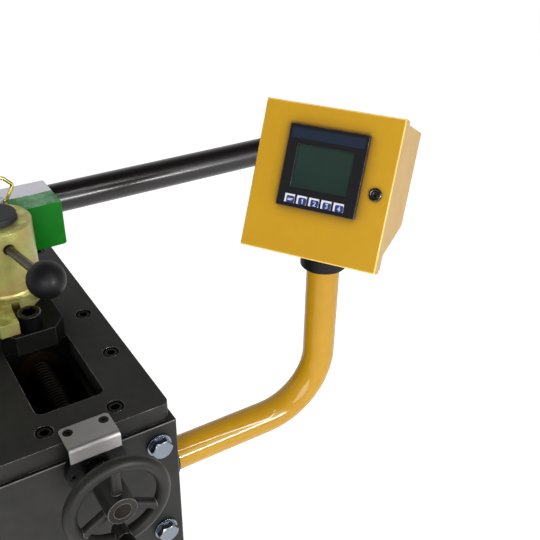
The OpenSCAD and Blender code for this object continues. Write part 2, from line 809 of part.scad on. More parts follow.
module spindle() {
    color([0.5, 0.51, 0.53]) translate([0, spindle_y, work_h]) {
        post(seat_d / 2, former_lo - 1, former_hi + 26);
        post(table_r, table_lo, former_lo);
        post(journal_r, -gear_z, table_lo);
        post(lower_r + 3, -gear_z - gear_w, -gear_z);
        post(lower_r, head_base - work_h - 8, -gear_z - gear_w);
        block([-6, seat_d / 2 - 4, former_lo - 1], [6, seat_d / 2 + 4, former_hi]);
        block([-5, lower_r + 1, -gear_z - gear_w], [5, lower_r + 7, -gear_z]);
    }
}

// Involute gear outline. The tooth thickness is cut back by the backlash at the pitch circle.
function polar(r, a) = [r * cos(a), r * sin(a)];
function inv_at(rb, r) = r <= rb ? 0 : sqrt(pow(r / rb, 2) - 1) * 180 / PI - acos(rb / r);
function tooth_half(z, m, pa, slack, r) = 90 / z - slack / (m * z) * 180 / PI / 2
    + inv_at(m * z / 2 * cos(pa), m * z / 2) - inv_at(m * z / 2 * cos(pa), r);
function gear_points(z, m, pa, slack) = let (rp = m * z / 2, rb = rp * cos(pa), ra = rp + 0.95 * m,
    rf = rp - 1.25 * m, r0 = max(rf + 0.2, rb), steps = 4)
    [for (i = [0:z - 1], s = [-1, 1], k = [0:steps]) let (c = i * 360 / z, j = s < 0 ? k : steps - k,
        r = j == 0 ? rf : r0 + (ra - r0) * (j - 1) / (steps - 1),
        h = tooth_half(z, m, pa, slack, max(r, r0)))
        polar(r, c + s * h)];
gear_pa = 25;
gear_slack = 0.8;

module bull_gear() {
    color([0.4, 0.41, 0.43]) translate([0, spindle_y, work_h - gear_z - gear_w]) difference() {
        linear_extrude(gear_w) rotate(-90 + 180 / gear_teeth)
            polygon(gear_points(gear_teeth, gear_m, gear_pa, gear_slack));
        post(lower_r + 3, -1, gear_w + 1);
        block([-5, 0, -1], [5, lower_r + 7, gear_w + 1]);
        for (a = [30:60:330]) rotate(a) translate([gear_r * 0.62, 0, 0]) post(15, -1, gear_w + 1);
    }
}

module pinion() {
    color([0.45, 0.46, 0.48]) translate([0, pinion_y, work_h - gear_z - gear_w - 2]) {
        linear_extrude(gear_w + 4) rotate(90)
            polygon(gear_points(pinion_teeth, gear_m, gear_pa, gear_slack));
        post(pinion_shaft_r, head_base - 30 - (work_h - gear_z - gear_w - 2), 1);
    }
}

module gear_reducer() {
    color([0.3, 0.33, 0.36]) translate([0, pinion_y, head_base]) difference() {
        union() {
            translate([0, 0, -reducer_flange_t]) linear_extrude(reducer_flange_t)
                round_rect(reducer_w, reducer_w, 12);
            translate([0, 0, -reducer_h]) linear_extrude(reducer_h - reducer_flange_t)
                round_rect(reducer_w - 20, reducer_w - 20, 18);
            post(reducer_spigot_r, 0, head_wall - 4);
        }
        post(pinion_shaft_r + run_gap, -34, head_wall + 1);
        post(pinion_shaft_r + 10, -34, -10);
    }
}

module drive_motor() {
    color([0.25, 0.3, 0.35]) translate([0, pinion_y, head_base - reducer_h]) difference() {
        union() {
            post(motor_d / 2 - 5, -motor_l, 0);
            for (k = [0:23]) rotate(k * 15)
                block([motor_d / 2 - 6, -2, -motor_l + 40], [motor_d / 2, 2, -12]);
            post(motor_d / 2, -motor_l, -motor_l + 36);
            block([motor_d / 2 - 8, -36, -100], [motor_d / 2 + 20, 36, -30]);
        }
        for (k = [0:11]) rotate(k * 30) translate([45, 0, 0]) post(5, -motor_l - 1, -motor_l + 12);
    }
}

module bend_encoder() {
    color([0.2, 0.2, 0.22]) translate([0, spindle_y, head_base]) difference() {
        union() {
            post(40, -14, 0);
            post(29, -52, -14);
        }
        post(lower_r + 1, -12, 1);
    }
}

module former() {
    lip = 2;
    g = tube_d / 2 + part_gap;
    color([0.42, 0.43, 0.45]) translate([0, spindle_y, work_h]) difference() {
        rotate_extrude($fn = 128) difference() {
            polygon([[seat_d / 2 + run_gap, former_lo], [rim_r - lip, former_lo], [rim_r, former_lo + lip],
                [rim_r, former_hi - lip], [rim_r - lip, former_hi], [seat_d / 2 + run_gap, former_hi]]);
            translate([bend_r, tube_z]) circle(g);
        }
        block([-6.05, 0, former_lo - 1], [6.05, seat_d / 2 + 4.1, former_hi + 1]);
        for (x = [-20, -48]) translate([x, -66, 0]) post(5, former_hi - 18, former_hi + 1);
    }
}

module tube_hook() {
    reach = bend_r + tube_d / 2 + 16;
    color([0.36, 0.37, 0.39]) translate([0, spindle_y, work_h]) difference() {
        block([-64, -reach, former_lo], [-6, -54, former_hi + 14]);
        translate([0, 0, former_lo - 1]) cylinder(r = bend_r + 0.1, h = former_h + 1, $fn = 128);
        translate([0, -bend_r, tube_z]) rod_x(tube_d / 2 + 0.8, -70, 0);
        block([-70, -bend_r - tube_d / 2 - 0.8, former_lo - 1], [0, 0, tube_z]);
        for (x = [-20, -48]) translate([x, -66, 0]) {
            post(5, former_hi - 1, former_hi + 20);
            post(8.5, former_hi + 5, former_hi + 20);
        }
    }
}

module hook_screws() {
    color([0.14, 0.14, 0.15]) for (x = [-20, -48])
        translate([x, spindle_y - 66, work_h + former_hi + 5]) socket_screw(10, 22, 16, 10, 8);
}

module former_nut() {
    color([0.6, 0.61, 0.63]) translate([0, spindle_y, work_h + former_hi]) difference() {
        union() {
            post(42, 0, 5);
            translate([0, 0, 5]) cylinder(d = 70 / cos(30), h = 19, $fn = 6);
        }
        post(seat_d / 2, -1, 30);
    }
}

module work_tube() {
    color([0.16, 0.13, 0.13]) on_plate(0, tube_line, tube_z) difference() {
        rod_x(tube_d / 2, -3, tube_len - 3);
        rod_x(tube_d / 2 - tube_wall, -4, tube_len);
    }
}

// CONTROL ARM AND BOX

module control_arm() {
    inner = post_r - arm_wall;
    color([0.8, 0.6, 0.16]) on_plate(0, arm_line, -arm_z) difference() {
        union() {
            rod_x(post_r, arm_in, post_x - arm_r);
            translate([post_x - arm_r, 0, arm_r]) rotate([90, 0, 0]) rotate([0, 0, -90])
                rotate_extrude(angle = 90) translate([arm_r, 0]) circle(post_r);
            translate([post_x, 0, 0]) post(post_r, arm_r, post_top + arm_z);
        }
        rod_x(inner, arm_in - 1, post_x - arm_r);
        translate([post_x - arm_r, 0, arm_r]) rotate([90, 0, 0]) rotate([0, 0, -90])
            rotate_extrude(angle = 90) translate([arm_r, 0]) circle(inner);
        translate([post_x, 0, 0]) post(inner, arm_r, post_top + arm_z + 1);
    }
}

module arm_clamp() {
    front = front_t - head_step;
    color([0.2, 0.2, 0.2]) on_plate(0, arm_line, -arm_z) difference() {
        block([arm_in + 2, front - arm_line, -32], [head_half - head_wall, front - arm_line + 60, 28]);
        rod_x(post_r, arm_in, head_half);
    }
}

module swivel_collar() {
    color([0.08, 0.08, 0.08]) on_plate(post_x, arm_line, 0) difference() {
        union() {
            post(collar_d / 2, collar_top - collar_h, collar_top - 1);
            translate([0, 0, collar_top - 1]) cylinder(r1 = collar_d / 2, r2 = collar_d / 2 - 1, h = 1);
        }
        post(post_r, 0, post_top);
        post(spigot_r + run_gap, 0, collar_top + 1);
        translate([0, 0, collar_top - collar_h + 12]) rotate([0, 0, 215]) rod_x(3, post_r, collar_d);
    }
}

// Local frame of the box: X to the right across its face, -Y out of the face, Z up the face
module on_box() {
    translate([post_x, front_y + arm_line, work_h + box_z]) rotate([0, 0, -box_yaw])
        translate([0, -box_fore, 0]) rotate([-box_pitch, 0, 0]) children();
}

// Height of the level facet under the box at a given depth
function facet_at(y) = (y * sin(box_pitch) - facet_drop) / cos(box_pitch);

// Side view of the box behind its door: depth to the right, height upwards
module box_side(in) {
    rim = 9;
    y0 = door_d + part_gap;
    y1 = box_d - in;
    yr = y0 + rim - in;
    lip = in > 0 ? 1 : 0;
    rise = in / cos(box_pitch);
    polygon([[y0 - lip, body_top - in], [y1, body_top - in], [y1, facet_at(y1) + rise],
        [yr, facet_at(yr) + rise], [yr, -body_top + in], [y0 - lip, -body_top + in]]);
}

// Turns a side view of the box into a solid between x0 and x1
module box_run(x0, x1) {
    translate([x0, 0, 0]) rotate([90, 0, 90]) linear_extrude(x1 - x0) children();
}

module box_shell() {
    color([0.8, 0.6, 0.16]) difference() {
        union() {
            on_box() difference() {
                box_run(-body_half, body_half) box_side(0);
                box_run(-body_half + sheet, body_half - sheet) box_side(sheet);
            }
            on_plate(post_x, arm_line, 0) {
                post(spigot_r, collar_top - 40, collar_top + part_gap + 1);
                post(26, collar_top + part_gap, collar_top + part_gap + 4);
            }
            on_box() {
                for (z = [-50, 50]) translate([hinge_x, door_d + part_gap, z]) hinge_knuckle(1, 4.4);
                block([lock_x + 6, door_d + part_gap, -12], [body_half - 1, door_d + part_gap + sheet, 12]);
            }
        }
        on_plate(post_x, arm_line, 0) post(spigot_r - 3, collar_top - 41, collar_top + 20);
    }
}

// Hinge barrel on the left edge of the box, with a leaf towards the box or the door
module hinge_knuckle(side, leaf) {
    h = 12;
    lift = side > 0 ? 0 : h + 0.4;
    difference() {
        union() {
            post(3, lift, lift + h);
            block([0, side > 0 ? 0.4 : -8, lift], [leaf, side > 0 ? 8 : -0.4, lift + h]);
            if (side > 0) post(1.5, 0, 2 * h);
        }
        if (side < 0) post(1.5 + run_gap, lift - 1, lift + h + 1);
    }
}

module box_door() {
    w = door_w / 2;
    h = door_h / 2;
    color([0.8, 0.6, 0.16]) on_box() difference() {
        union() {
            difference() {
                block([-w, 0, -h], [w, door_d, h]);
                block([-w + sheet, sheet, -h + sheet], [w - sheet, door_d + 1, h - sheet]);
            }
            for (z = [-50, 50]) translate([hinge_x, door_d + part_gap, z]) hinge_knuckle(-1, 3.4);
        }
        translate([bezel_x, 0, bezel_up]) block([-46, -1, -46], [46, sheet + 1, 46]);
        translate([lock_x, 0, 0]) rod_y(lock_d / 2 - 2, -1, sheet + 1);
    }
}

module door_lock() {
    color([0.06, 0.06, 0.06]) on_box() translate([lock_x, 0, 0]) difference() {
        union() {
            rod_y(lock_d / 2, -2.2, -part_gap);
            rod_y(lock_d / 2 - 2 - run_gap, -1, cam_y);
            block([-4, cam_y, -4], [4, cam_y + 3, cam_reach]);
        }
        rod_y(4.6, -3, -0.8);
        block([-1.2, -3, -4], [1.2, 3, 4]);
    }
}

module display_frame() {
    b = bezel_s / 2;
    w = window_s / 2;
    color([0.1, 0.11, 0.13]) on_box() translate([bezel_x, 0, bezel_up]) difference() {
        union() {
            block([-b, -bezel_t, -b], [b, 0, b]);
            block([-45.7, 0, -45.7], [45.7, 46, 45.7]);
        }
        block([-w[0], -bezel_t - 1, -w[1]], [w[0], 4 - bezel_t, w[1]]);
        for (k = [0:4]) translate([key_x0 + k * key_pitch - bezel_x, 0, key_z - bezel_up])
            block([-key_s[0] / 2 - part_gap, -bezel_t - 1, -key_s[1] / 2 - part_gap],
                [key_s[0] / 2 + part_gap, 4.5 - bezel_t, key_s[1] / 2 + part_gap]);
    }
}

module display_window() {
    w = window_s / 2;
    color([0.15, 0.23, 0.2]) on_box() translate([bezel_x, 0, bezel_up])
        block([-w[0], 2.4 - bezel_t, -w[1]], [w[0], 4 - bezel_t, w[1]]);
}

module key(k) {
    color([0.85, 0.87, 0.9]) on_box() translate([key_x0 + k * key_pitch, 0, key_z])
        block([-key_s[0] / 2, -bezel_t - 1.3, -key_s[1] / 2], [key_s[0] / 2, 3 - bezel_t, key_s[1] / 2]);
}
module key_1() { key(0); }
module key_2() { key(1); }
module key_3() { key(2); }
module key_4() { key(3); }
module key_5() { key(4); }

// CABINET

module cabinet() {
    w = cab_w / 2;
    l = cab_l / 2;
    t = cab_t;
    color([0.15, 0.15, 0.16]) difference() {
        union() {
            block([-w, -l, plinth_h], [-w + t, l, cab_top]);
            block([w - t, -l, plinth_h], [w, l, cab_top]);
            block([-w + t, l - t, plinth_h], [w - t, l, cab_top]);
            block([-w + t, -l, plinth_h], [w - t, l - t, plinth_h + t]);
            block([-w + t, -l, cab_top - strip_h], [w - t, -l + t, cab_top]);
            block([-w + t, -l, cab_top - 8], [w - t, l - t, cab_top]);
            block([-w + t, -l, plinth_h + t], [-w + 12, -l + 24, cab_top - 8]);
            block([w - 12, -l, plinth_h + t], [w - t, -l + 24, cab_top - 8]);
            difference() {
                block([-w, -l, 0], [w, l, plinth_h]);
                block([-w + 8, -l + 8, -1], [w - 8, l - 8, plinth_h - 6]);
            }
            for (x = [-1, 1], y = [-1, 1]) block([x > 0 ? w - 8 : -w - 45, y * anchor_y / 2 - 25, 0],
                [x > 0 ? w + 45 : -w + 8, y * anchor_y / 2 + 25, 10]);
        }
        for (x = [-1, 1], y = [-1, 1]) translate([x * anchor_x / 2, y * anchor_y / 2, 0])
            post(anchor_d / 2, -1, 11);
        translate([0, pinion_y, cab_top - 9]) linear_extrude(10)
            round_rect(reducer_w + 2, reducer_w + 2, 12);
        translate([0, spindle_y, 0]) post(42, cab_top - 9, cab_top + 1);
        for (x = [-1, 1], k = [0:6]) block([x > 0 ? w - t - 1 : -w - 1, -80, 200 + 22 * k],
            [x > 0 ? w + 1 : -w + t + 1, 80, 206 + 22 * k]);
        translate([70, -l - 1, cab_top - strip_h / 2]) rod_y(11, 0, t + 2);
        translate([-60, -l - 1, cab_top - strip_h / 2]) rod_y(8, 0, t + 2);
        translate([90, l - t - 1, 150]) rod_y(10, 0, t + 2);
    }
    color([0.15, 0.15, 0.16]) for (z = cab_hinges)
        translate([cab_hinge_x, cab_hinge_y, z]) hinge_knuckle(1, 2.6);
}

module cabinet_door() {
    w = cab_door_w / 2;
    z0 = plinth_h + door_gap;
    color([0.8, 0.6, 0.16]) difference() {
        union() {
            block([-w - 6, cab_front - 18, z0], [w + 6, cab_front - 16, z0 + cab_door_h]);
            for (s = [-1, 1]) {
                block([s > 0 ? w + 4 : -w - 6, cab_front - 16, z0],
                    [s > 0 ? w + 6 : -w - 4, cab_front - part_gap, z0 + cab_door_h]);
                translate([0, 0, s > 0 ? cab_door_h - 2 : 0])
                    block([-w - 4, cab_front - 16, z0], [w + 4, cab_front - part_gap, z0 + 2]);
            }
        }
        translate([w - latch_in, cab_front, z0 + cab_door_h / 2]) rod_y(9, -20, 0);
    }
    color([0.8, 0.6, 0.16]) for (z = cab_hinges)
        translate([cab_hinge_x, cab_hinge_y, z]) hinge_knuckle(-1, 3.4);
}

module door_latch() {
    color([0.07, 0.07, 0.07])
        translate([cab_door_w / 2 - latch_in, cab_front - 18, plinth_h + door_gap + cab_door_h / 2]) {
            rod_y(15, -8, -part_gap);
            rod_y(9 - run_gap, -1, 44);
            block([-5, -22, -26], [5, -8, 26]);
            block([-5, 43, -5], [5, 47, latch_in + 6]);
        }
}

module stop_button() {
    color([0.75, 0.08, 0.06]) translate([70, cab_front, cab_top - strip_h / 2]) {
        rod_y(11 - run_gap, -26, 10);
        rotate([90, 0, 0]) translate([0, 0, 24]) rotate_extrude()
            polygon([[0, 0], [16, 0], [20, 5], [20, 10], [17, 14], [9, 17], [0, 18]]);
    }
}

module main_switch() {
    color([0.08, 0.08, 0.08]) translate([-60, cab_front, cab_top - strip_h / 2]) {
        rod_y(8 - run_gap, -4, 12);
        rod_y(24, -12, -part_gap);
        block([-6, -30, -22], [6, -11, 22]);
    }
}

module cable_gland() {
    color([0.1, 0.1, 0.1]) translate([90, cab_l / 2, 150]) difference() {
        union() {
            rod_y(10, -cab_t - 10, 4);
            rotate([-90, 0, 0]) cylinder(d = 27 / cos(30), h = 8, $fn = 6);
            rotate([-90, 0, 0]) translate([0, 0, 8]) cylinder(r1 = 12, r2 = 8, h = 14);
        }
        rod_y(5.5, -cab_t - 11, 30);
    }
}

top_plate();
plate_screws();
head_frame();
front_plate();
front_bolts();
front_washers();
guide_strips();
screw_guard();
guard_screws();
lead_screw();
screw_flange();
flange_screws();
tail_bearing();
handwheel();
crank_handle();
slide_body();
lead_nut();
slide_block();
stop_screw();
pivot_shaft();
vice_hub();
hub_cap();
lever_rod();
ball_knob();
die_pin();
pin_ring();
counter_die();
bearing_housing();
upper_bearing();
lower_bearing();
spindle();
bull_gear();
pinion();
gear_reducer();
drive_motor();
bend_encoder();
former();
tube_hook();
hook_screws();
former_nut();
work_tube();
control_arm();
arm_clamp();
swivel_collar();
box_shell();
box_door();
door_lock();
display_frame();
display_window();
key_1();
key_2();
key_3();
key_4();
key_5();
cabinet();
cabinet_door();
door_latch();
stop_button();
main_switch();
cable_gland();
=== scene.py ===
# %% [markdown]
# # Dressing a programmable tube bender
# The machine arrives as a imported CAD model: every plate, screw, shaft and key is already there, in
# metres, with its joints. This lesson gives each piece its paint, plating or ground face, rounds the
# edges that catch the light, adds the few details that CAD leaves plain, and sets up the camera and
# the lamps.

# %% Loading the model
import json
import math

import bmesh
import bpy
from mathutils import Matrix, Vector


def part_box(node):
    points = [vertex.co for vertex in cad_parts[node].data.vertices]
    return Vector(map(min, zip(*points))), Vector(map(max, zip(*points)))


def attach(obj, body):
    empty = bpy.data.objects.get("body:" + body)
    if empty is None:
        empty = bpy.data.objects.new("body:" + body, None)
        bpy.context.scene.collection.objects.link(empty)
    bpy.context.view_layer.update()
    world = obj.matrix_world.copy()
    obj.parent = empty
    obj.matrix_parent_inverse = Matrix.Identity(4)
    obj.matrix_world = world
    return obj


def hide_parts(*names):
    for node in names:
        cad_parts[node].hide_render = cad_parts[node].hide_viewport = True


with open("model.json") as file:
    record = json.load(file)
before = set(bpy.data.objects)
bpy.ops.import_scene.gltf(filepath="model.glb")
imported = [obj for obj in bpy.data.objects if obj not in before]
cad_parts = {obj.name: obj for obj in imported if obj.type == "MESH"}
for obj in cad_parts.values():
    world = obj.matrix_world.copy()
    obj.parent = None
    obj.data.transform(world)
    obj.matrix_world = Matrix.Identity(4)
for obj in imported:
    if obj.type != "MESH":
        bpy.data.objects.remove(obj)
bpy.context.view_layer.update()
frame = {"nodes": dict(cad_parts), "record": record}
nodes = frame["nodes"]
MM = 0.001


# %% [markdown]
# ## The camera
# The photograph looks down at the plate from the operator's left. A camera is a place, a turn and a
# lens. Matching a photograph means finding all three together from edges whose real size is known,
# here the plate, the box and the arm. The result is written as an azimuth, an elevation and a small
# roll, which reads better than a matrix, and the matrix is built from them.

# %% Camera
CAMERA_PLACE = Vector((-92.506, -972.452, 1543.915)) * MM
AZIMUTH = math.radians(-32.4635)
ELEVATION = math.radians(31.4468)
ROLL = math.radians(1.0101)
LENS = 51.637  # focal length in mm, for a sensor of this width
SENSOR_WIDTH = 36.0
FARTHEST = 100.0


def camera_matrix(place, azimuth, elevation, roll):
    """World matrix of a camera at a place, looking along an azimuth and down by an elevation."""
    ahead = Vector((-math.sin(azimuth) * math.cos(elevation), math.cos(azimuth) * math.cos(elevation),
                    -math.sin(elevation)))
    right = Vector((math.cos(azimuth), math.sin(azimuth), 0))
    up = right.cross(ahead)
    turned_right = math.cos(roll) * right + math.sin(roll) * up
    turned_up = -math.sin(roll) * right + math.cos(roll) * up
    rows = Matrix((turned_right, turned_up, -ahead)).transposed().to_4x4()
    return Matrix.Translation(place) @ rows


lens = bpy.data.cameras.new("camera")
lens.lens = LENS
lens.sensor_width = SENSOR_WIDTH
lens.clip_end = FARTHEST
camera = bpy.data.objects.new("camera", lens)
camera.matrix_world = camera_matrix(CAMERA_PLACE, AZIMUTH, ELEVATION, ROLL)
bpy.context.collection.objects.link(camera)
bpy.context.scene.camera = camera
bpy.context.scene.view_settings.view_transform = "Standard"
print("camera at", CAMERA_PLACE, "lens", LENS)


# %% [markdown]
# ## Small helpers for shader trees
# A material is a tree of nodes. Writing one by hand takes many lines, so a few helpers keep the
# recipes short: `feed` puts a value or a link into a socket, `fill` does so for several of a node's
# inputs, whose names take _ in place of a space, and `add` makes a node and fills it. `mixed`,
# `ranged` and `maths` wrap the three nodes that every recipe needs. Colours are written as they look
# on the screen, from 0 to 255, and `mixed` turns them into what a shader works with.

# %% Helpers
SCREEN_GAMMA = 2.2
VECTOR_MATHS = "ShaderNodeVectorMath"


def linear(r, g, b):
    """Turns screen values from 0 to 255 into the linear colour that shaders use."""
    return tuple((c / 255) ** SCREEN_GAMMA for c in (r, g, b)) + (1.0,)


def feed(tree, socket, value):
    """Puts a link or a constant into a socket."""
    if isinstance(value, bpy.types.NodeSocket):
        tree.links.new(value, socket)
    else:
        socket.default_value = value


def fill(tree, node, **inputs):
    """Puts links or constants into a node's own inputs."""
    for name, value in inputs.items():
        feed(tree, node.inputs[name.replace("_", " ")], value)


def add(tree, kind, **inputs):
    """A new node with its inputs filled."""
    node = tree.nodes.new(kind)
    fill(tree, node, **inputs)
    return node


def mixed(tree, factor, first, second):
    """Blend of two colours, each a socket or three screen values."""
    node = tree.nodes.new("ShaderNodeMix")
    node.data_type = "RGBA"
    feed(tree, node.inputs[0], factor)
    for place, colour in ((6, first), (7, second)):
        feed(tree, node.inputs[place], linear(*colour) if isinstance(colour, tuple) else colour)
    return node.outputs[2]


def ranged(tree, value, low, high, out_low=0.0, out_high=1.0):
    """A value moved from one range to another and held inside it."""
    return add(tree, "ShaderNodeMapRange", Value=value, From_Min=low, From_Max=high,
               To_Min=out_low, To_Max=out_high).outputs[0]


def maths(tree, operation, first, second=0.0, kind="ShaderNodeMath"):
    """The result of a maths node; with vectors, both its results, Vector and Value."""
    node = tree.nodes.new(kind)
    node.operation = operation
    feed(tree, node.inputs[0], first)
    feed(tree, node.inputs[1], second)
    return node.outputs if kind == VECTOR_MATHS else node.outputs[0]


def product(tree, first, second):
    """One value times another."""
    return maths(tree, "MULTIPLY", first, second)


def noise(tree, where, scale, detail=3.0, rough=0.55):
    """Cloudy noise between 0 and 1; scale is how many bumps fit in a metre."""
    node = add(tree, "ShaderNodeTexNoise", Vector=where, Scale=scale, Detail=detail, Roughness=rough)
    return node.outputs[0]


def object_place(tree):
    """Coordinates in metres that stay on the piece when it moves."""
    return tree.nodes.new("ShaderNodeTexCoord").outputs["Object"]


def new_group(name, inputs, outputs):
    """An empty shader group, with the sockets at its start and at its end."""
    tree = bpy.data.node_groups.new(name, "ShaderNodeTree")
    for label, kind, value in inputs:
        socket = tree.interface.new_socket(label, in_out="INPUT", socket_type=kind)
        socket.default_value = value
    for label, kind in outputs:
        tree.interface.new_socket(label, in_out="OUTPUT", socket_type=kind)
    return tree, tree.nodes.new("NodeGroupInput").outputs, tree.nodes.new("NodeGroupOutput").inputs


def use_group(tree, group, **inputs):
    """Puts a group in a tree, fills its inputs and gives its outputs."""
    node = tree.nodes.new("ShaderNodeGroup")
    node.node_tree = group
    fill(tree, node, **inputs)
    return node.outputs


FLOAT = "NodeSocketFloat"
VECTOR = "NodeSocketVector"
print("helpers ready")


# %% [markdown]
# ## Effect 1: softened and worn edges
# No machined edge is perfectly sharp, and paint goes thin on it. The Bevel node returns the normal
# that a rounded edge would have. Where it differs from the true normal there is an edge, and that
# difference, broken up with noise, is the mask for bare metal or polished paint.

# %% Group for edges
edges, g_in, g_out = new_group(
    "softened edges", [("Width", FLOAT, 0.001), ("Patch size", FLOAT, 60.0), ("Reach", FLOAT, 0.12)],
    [("Wear", FLOAT), ("Normal", VECTOR)])
bevel = edges.nodes.new("ShaderNodeBevel")
bevel.samples = 4
feed(edges, bevel.inputs["Radius"], g_in["Width"])
flat = edges.nodes.new("ShaderNodeNewGeometry").outputs["Normal"]
match = maths(edges, "DOT_PRODUCT", bevel.outputs[0], flat, VECTOR_MATHS)["Value"]
bend = maths(edges, "SUBTRACT", 1.0, match)
speckle = noise(edges, object_place(edges), g_in["Patch size"], 4.0, 0.6)
patch = ranged(edges, speckle, 0.38, 0.62, 0.15, 1.0)
near = ranged(edges, bend, 0.01, g_in["Reach"])
feed(edges, g_out["Wear"], product(edges, near, patch))
feed(edges, g_out["Normal"], bevel.outputs[0])
print("group:", edges.name)

# %% [markdown]
# ## Effect 2: blotches
# Large faces are never one even colour. Two noises of different size, added together, give slow
# changes for paint that has aged and metal that has been wiped with an oily rag.

# %% Group for blotches
blotches, g_in, g_out = new_group(
    "blotches", [("Large", FLOAT, 9.0), ("Small", FLOAT, 70.0)], [("Value", FLOAT)])
where = object_place(blotches)
WIDE_SHARE = 0.7
wide = product(blotches, noise(blotches, where, g_in["Large"], 4.0, 0.6), WIDE_SHARE)
close = product(blotches, noise(blotches, where, g_in["Small"], 3.0, 0.5), 1.0 - WIDE_SHARE)
total = maths(blotches, "ADD", wide, close)
feed(blotches, g_out["Value"], ranged(blotches, total, 0.35, 0.65))
print("group:", blotches.name)

# %% [markdown]
# ## Effect 3: tool lines
# Grinding, turning and brushing leave fine parallel lines. A noise whose coordinates are squeezed
# across the lines and stretched along them gives such lines without any picture. The stretch vector
# chooses the direction.

# %% Group for tool lines
lines, g_in, g_out = new_group(
    "tool lines", [("Stretch", VECTOR, (10.0, 1200.0, 1200.0)), ("Contrast", FLOAT, 0.5)],
    [("Value", FLOAT), ("Height", FLOAT)])
scaled = maths(lines, "MULTIPLY", object_place(lines), g_in["Stretch"], VECTOR_MATHS)["Vector"]
streak = noise(lines, scaled, 1.0, 4.0, 0.65)
apart = product(lines, maths(lines, "SUBTRACT", streak, 0.5), g_in["Contrast"])
feed(lines, g_out["Value"], maths(lines, "ADD", apart, 0.5))
feed(lines, g_out["Height"], streak)
print("group:", lines.name)

# %% [markdown]
# ## Effect 4: pebbled skin
# Sprayed paint has a faint orange peel, castings have a coarser skin and moulded plastic a fine one.
# All three are the same small bumps at different sizes, so one group serves them.

# %% Group for skins
skin, g_in, g_out = new_group(
    "pebbled skin", [("Size", FLOAT, 900.0), ("Softness", FLOAT, 0.4)], [("Height", FLOAT), ("Value", FLOAT)])
where = object_place(skin)
bumps = noise(skin, where, g_in["Size"], 2.0, g_in["Softness"])
feed(skin, g_out["Height"], bumps)
feed(skin, g_out["Value"], ranged(skin, bumps, 0.3, 0.7))
print("group:", skin.name)

# %% [markdown]
# ## Effect 5: dust and painted sheen on upward faces
# A machine in a workshop collects dust where faces look up. The normal's upward part, cut by a
# slow noise, gives a mask that is strongest on level faces and absent underneath. The gold hub and
# the green die use the same mask for a painted sheen, a paler colour on their level tops.

# %% Group for dust and painted sheen
dust_and_sheen, g_in, g_out = new_group(
    "settled dust", [("Amount", FLOAT, 0.3), ("Clumps", FLOAT, 14.0)], [("Mask", FLOAT)])
split = dust_and_sheen.nodes.new("ShaderNodeSeparateXYZ")
feed(dust_and_sheen, split.inputs[0], dust_and_sheen.nodes.new("ShaderNodeNewGeometry").outputs["Normal"])
upward = ranged(dust_and_sheen, split.outputs["Z"], 0.4, 1.0)
clump = ranged(dust_and_sheen, noise(dust_and_sheen, object_place(dust_and_sheen), g_in["Clumps"], 5.0, 0.65), 0.4, 0.75)
settled = product(dust_and_sheen, upward, clump)
feed(dust_and_sheen, g_out["Mask"], product(dust_and_sheen, settled, g_in["Amount"]))
print("group:", dust_and_sheen.name)


# %% [markdown]
# ## Painted steel
# The machine is black enamel and the arm, box and cabinet door are ochre enamel. Enamel is a colour
# with a clear gloss over it. The recipe takes the colour, what shows where it is worn, how rough it
# is and how large its orange peel is, and every painted piece is a call with its own values.

# %% Enamel
DUST_GREY = (120, 118, 112)
PEEL_SIZE = 700.0
PEEL_DEPTH = 0.08 * MM


def new_material(name):
    """A new material, its tree and its main shader."""
    material = bpy.data.materials.new(name)
    material.use_nodes = True
    return material, material.node_tree, material.node_tree.nodes["Principled BSDF"]


def relief(tree, shader, heights, depth, strength, edge_of):
    """Gives the shader a bump of a real depth in metres over the softened edges."""
    bump = add(tree, "ShaderNodeBump", Height=heights["Height"], Distance=depth,
               Strength=strength, Normal=edge_of["Normal"])
    fill(tree, shader, Normal=bump.outputs[0])


def enamel(name, colour, dark, worn, rough, coat=0.0, gloss=0.5, edge=1.2 * MM, wear=0.5, dusty=0.1,
           shade=None, reach=12 * MM):
    """Paint whose edges show the worn colour; shade is the colour of painted shade in corners within reach of
    a wall.
    """
    material, tree, shader = new_material(name)
    edge_of = use_group(tree, edges, Width=edge)
    tone = use_group(tree, blotches)["Value"]
    peel_of = use_group(tree, skin, Size=PEEL_SIZE)
    paint = mixed(tree, tone, colour, dark)
    # Painted shade: ambient occlusion mixes the paint towards the shade colour in corners and near walls.
    if shade:
        shade_occlusion = add(tree, "ShaderNodeAmbientOcclusion", Distance=reach)
        shade_occlusion.samples = 12
        paint = mixed(tree, ranged(tree, shade_occlusion.outputs["AO"], 0.5, 1.0, 0.75, 0.0), paint, shade)
    bare = product(tree, edge_of["Wear"], wear)
    paint = mixed(tree, bare, paint, worn)
    grey = use_group(tree, dust_and_sheen, Amount=dusty)["Mask"]
    fill(tree, shader, Base_Color=mixed(tree, grey, paint, DUST_GREY), Specular_IOR_Level=gloss,
         Roughness=ranged(tree, tone, 0.0, 1.0, rough, rough + 0.08), Coat_Weight=coat, Coat_Roughness=0.05)
    relief(tree, shader, peel_of, PEEL_DEPTH, 0.35, edge_of)
    return material


FINISHES = {}
# Black enamel with a near-black painted shade in corners and recesses, such as the slot and the counterbores.
FINISHES["black_paint"] = enamel("black enamel", (44, 43, 42), (34, 34, 32), (176, 170, 162), 0.42, gloss=0.2,
                                 edge=1.4 * MM, wear=1.0, dusty=0.02, shade=(10, 9, 8), reach=20 * MM)
block_paint = enamel("oiled black enamel", (20, 19, 18), (15, 15, 14), (150, 145, 138), 0.46, gloss=0.1,
                     wear=0.25, dusty=0.0)
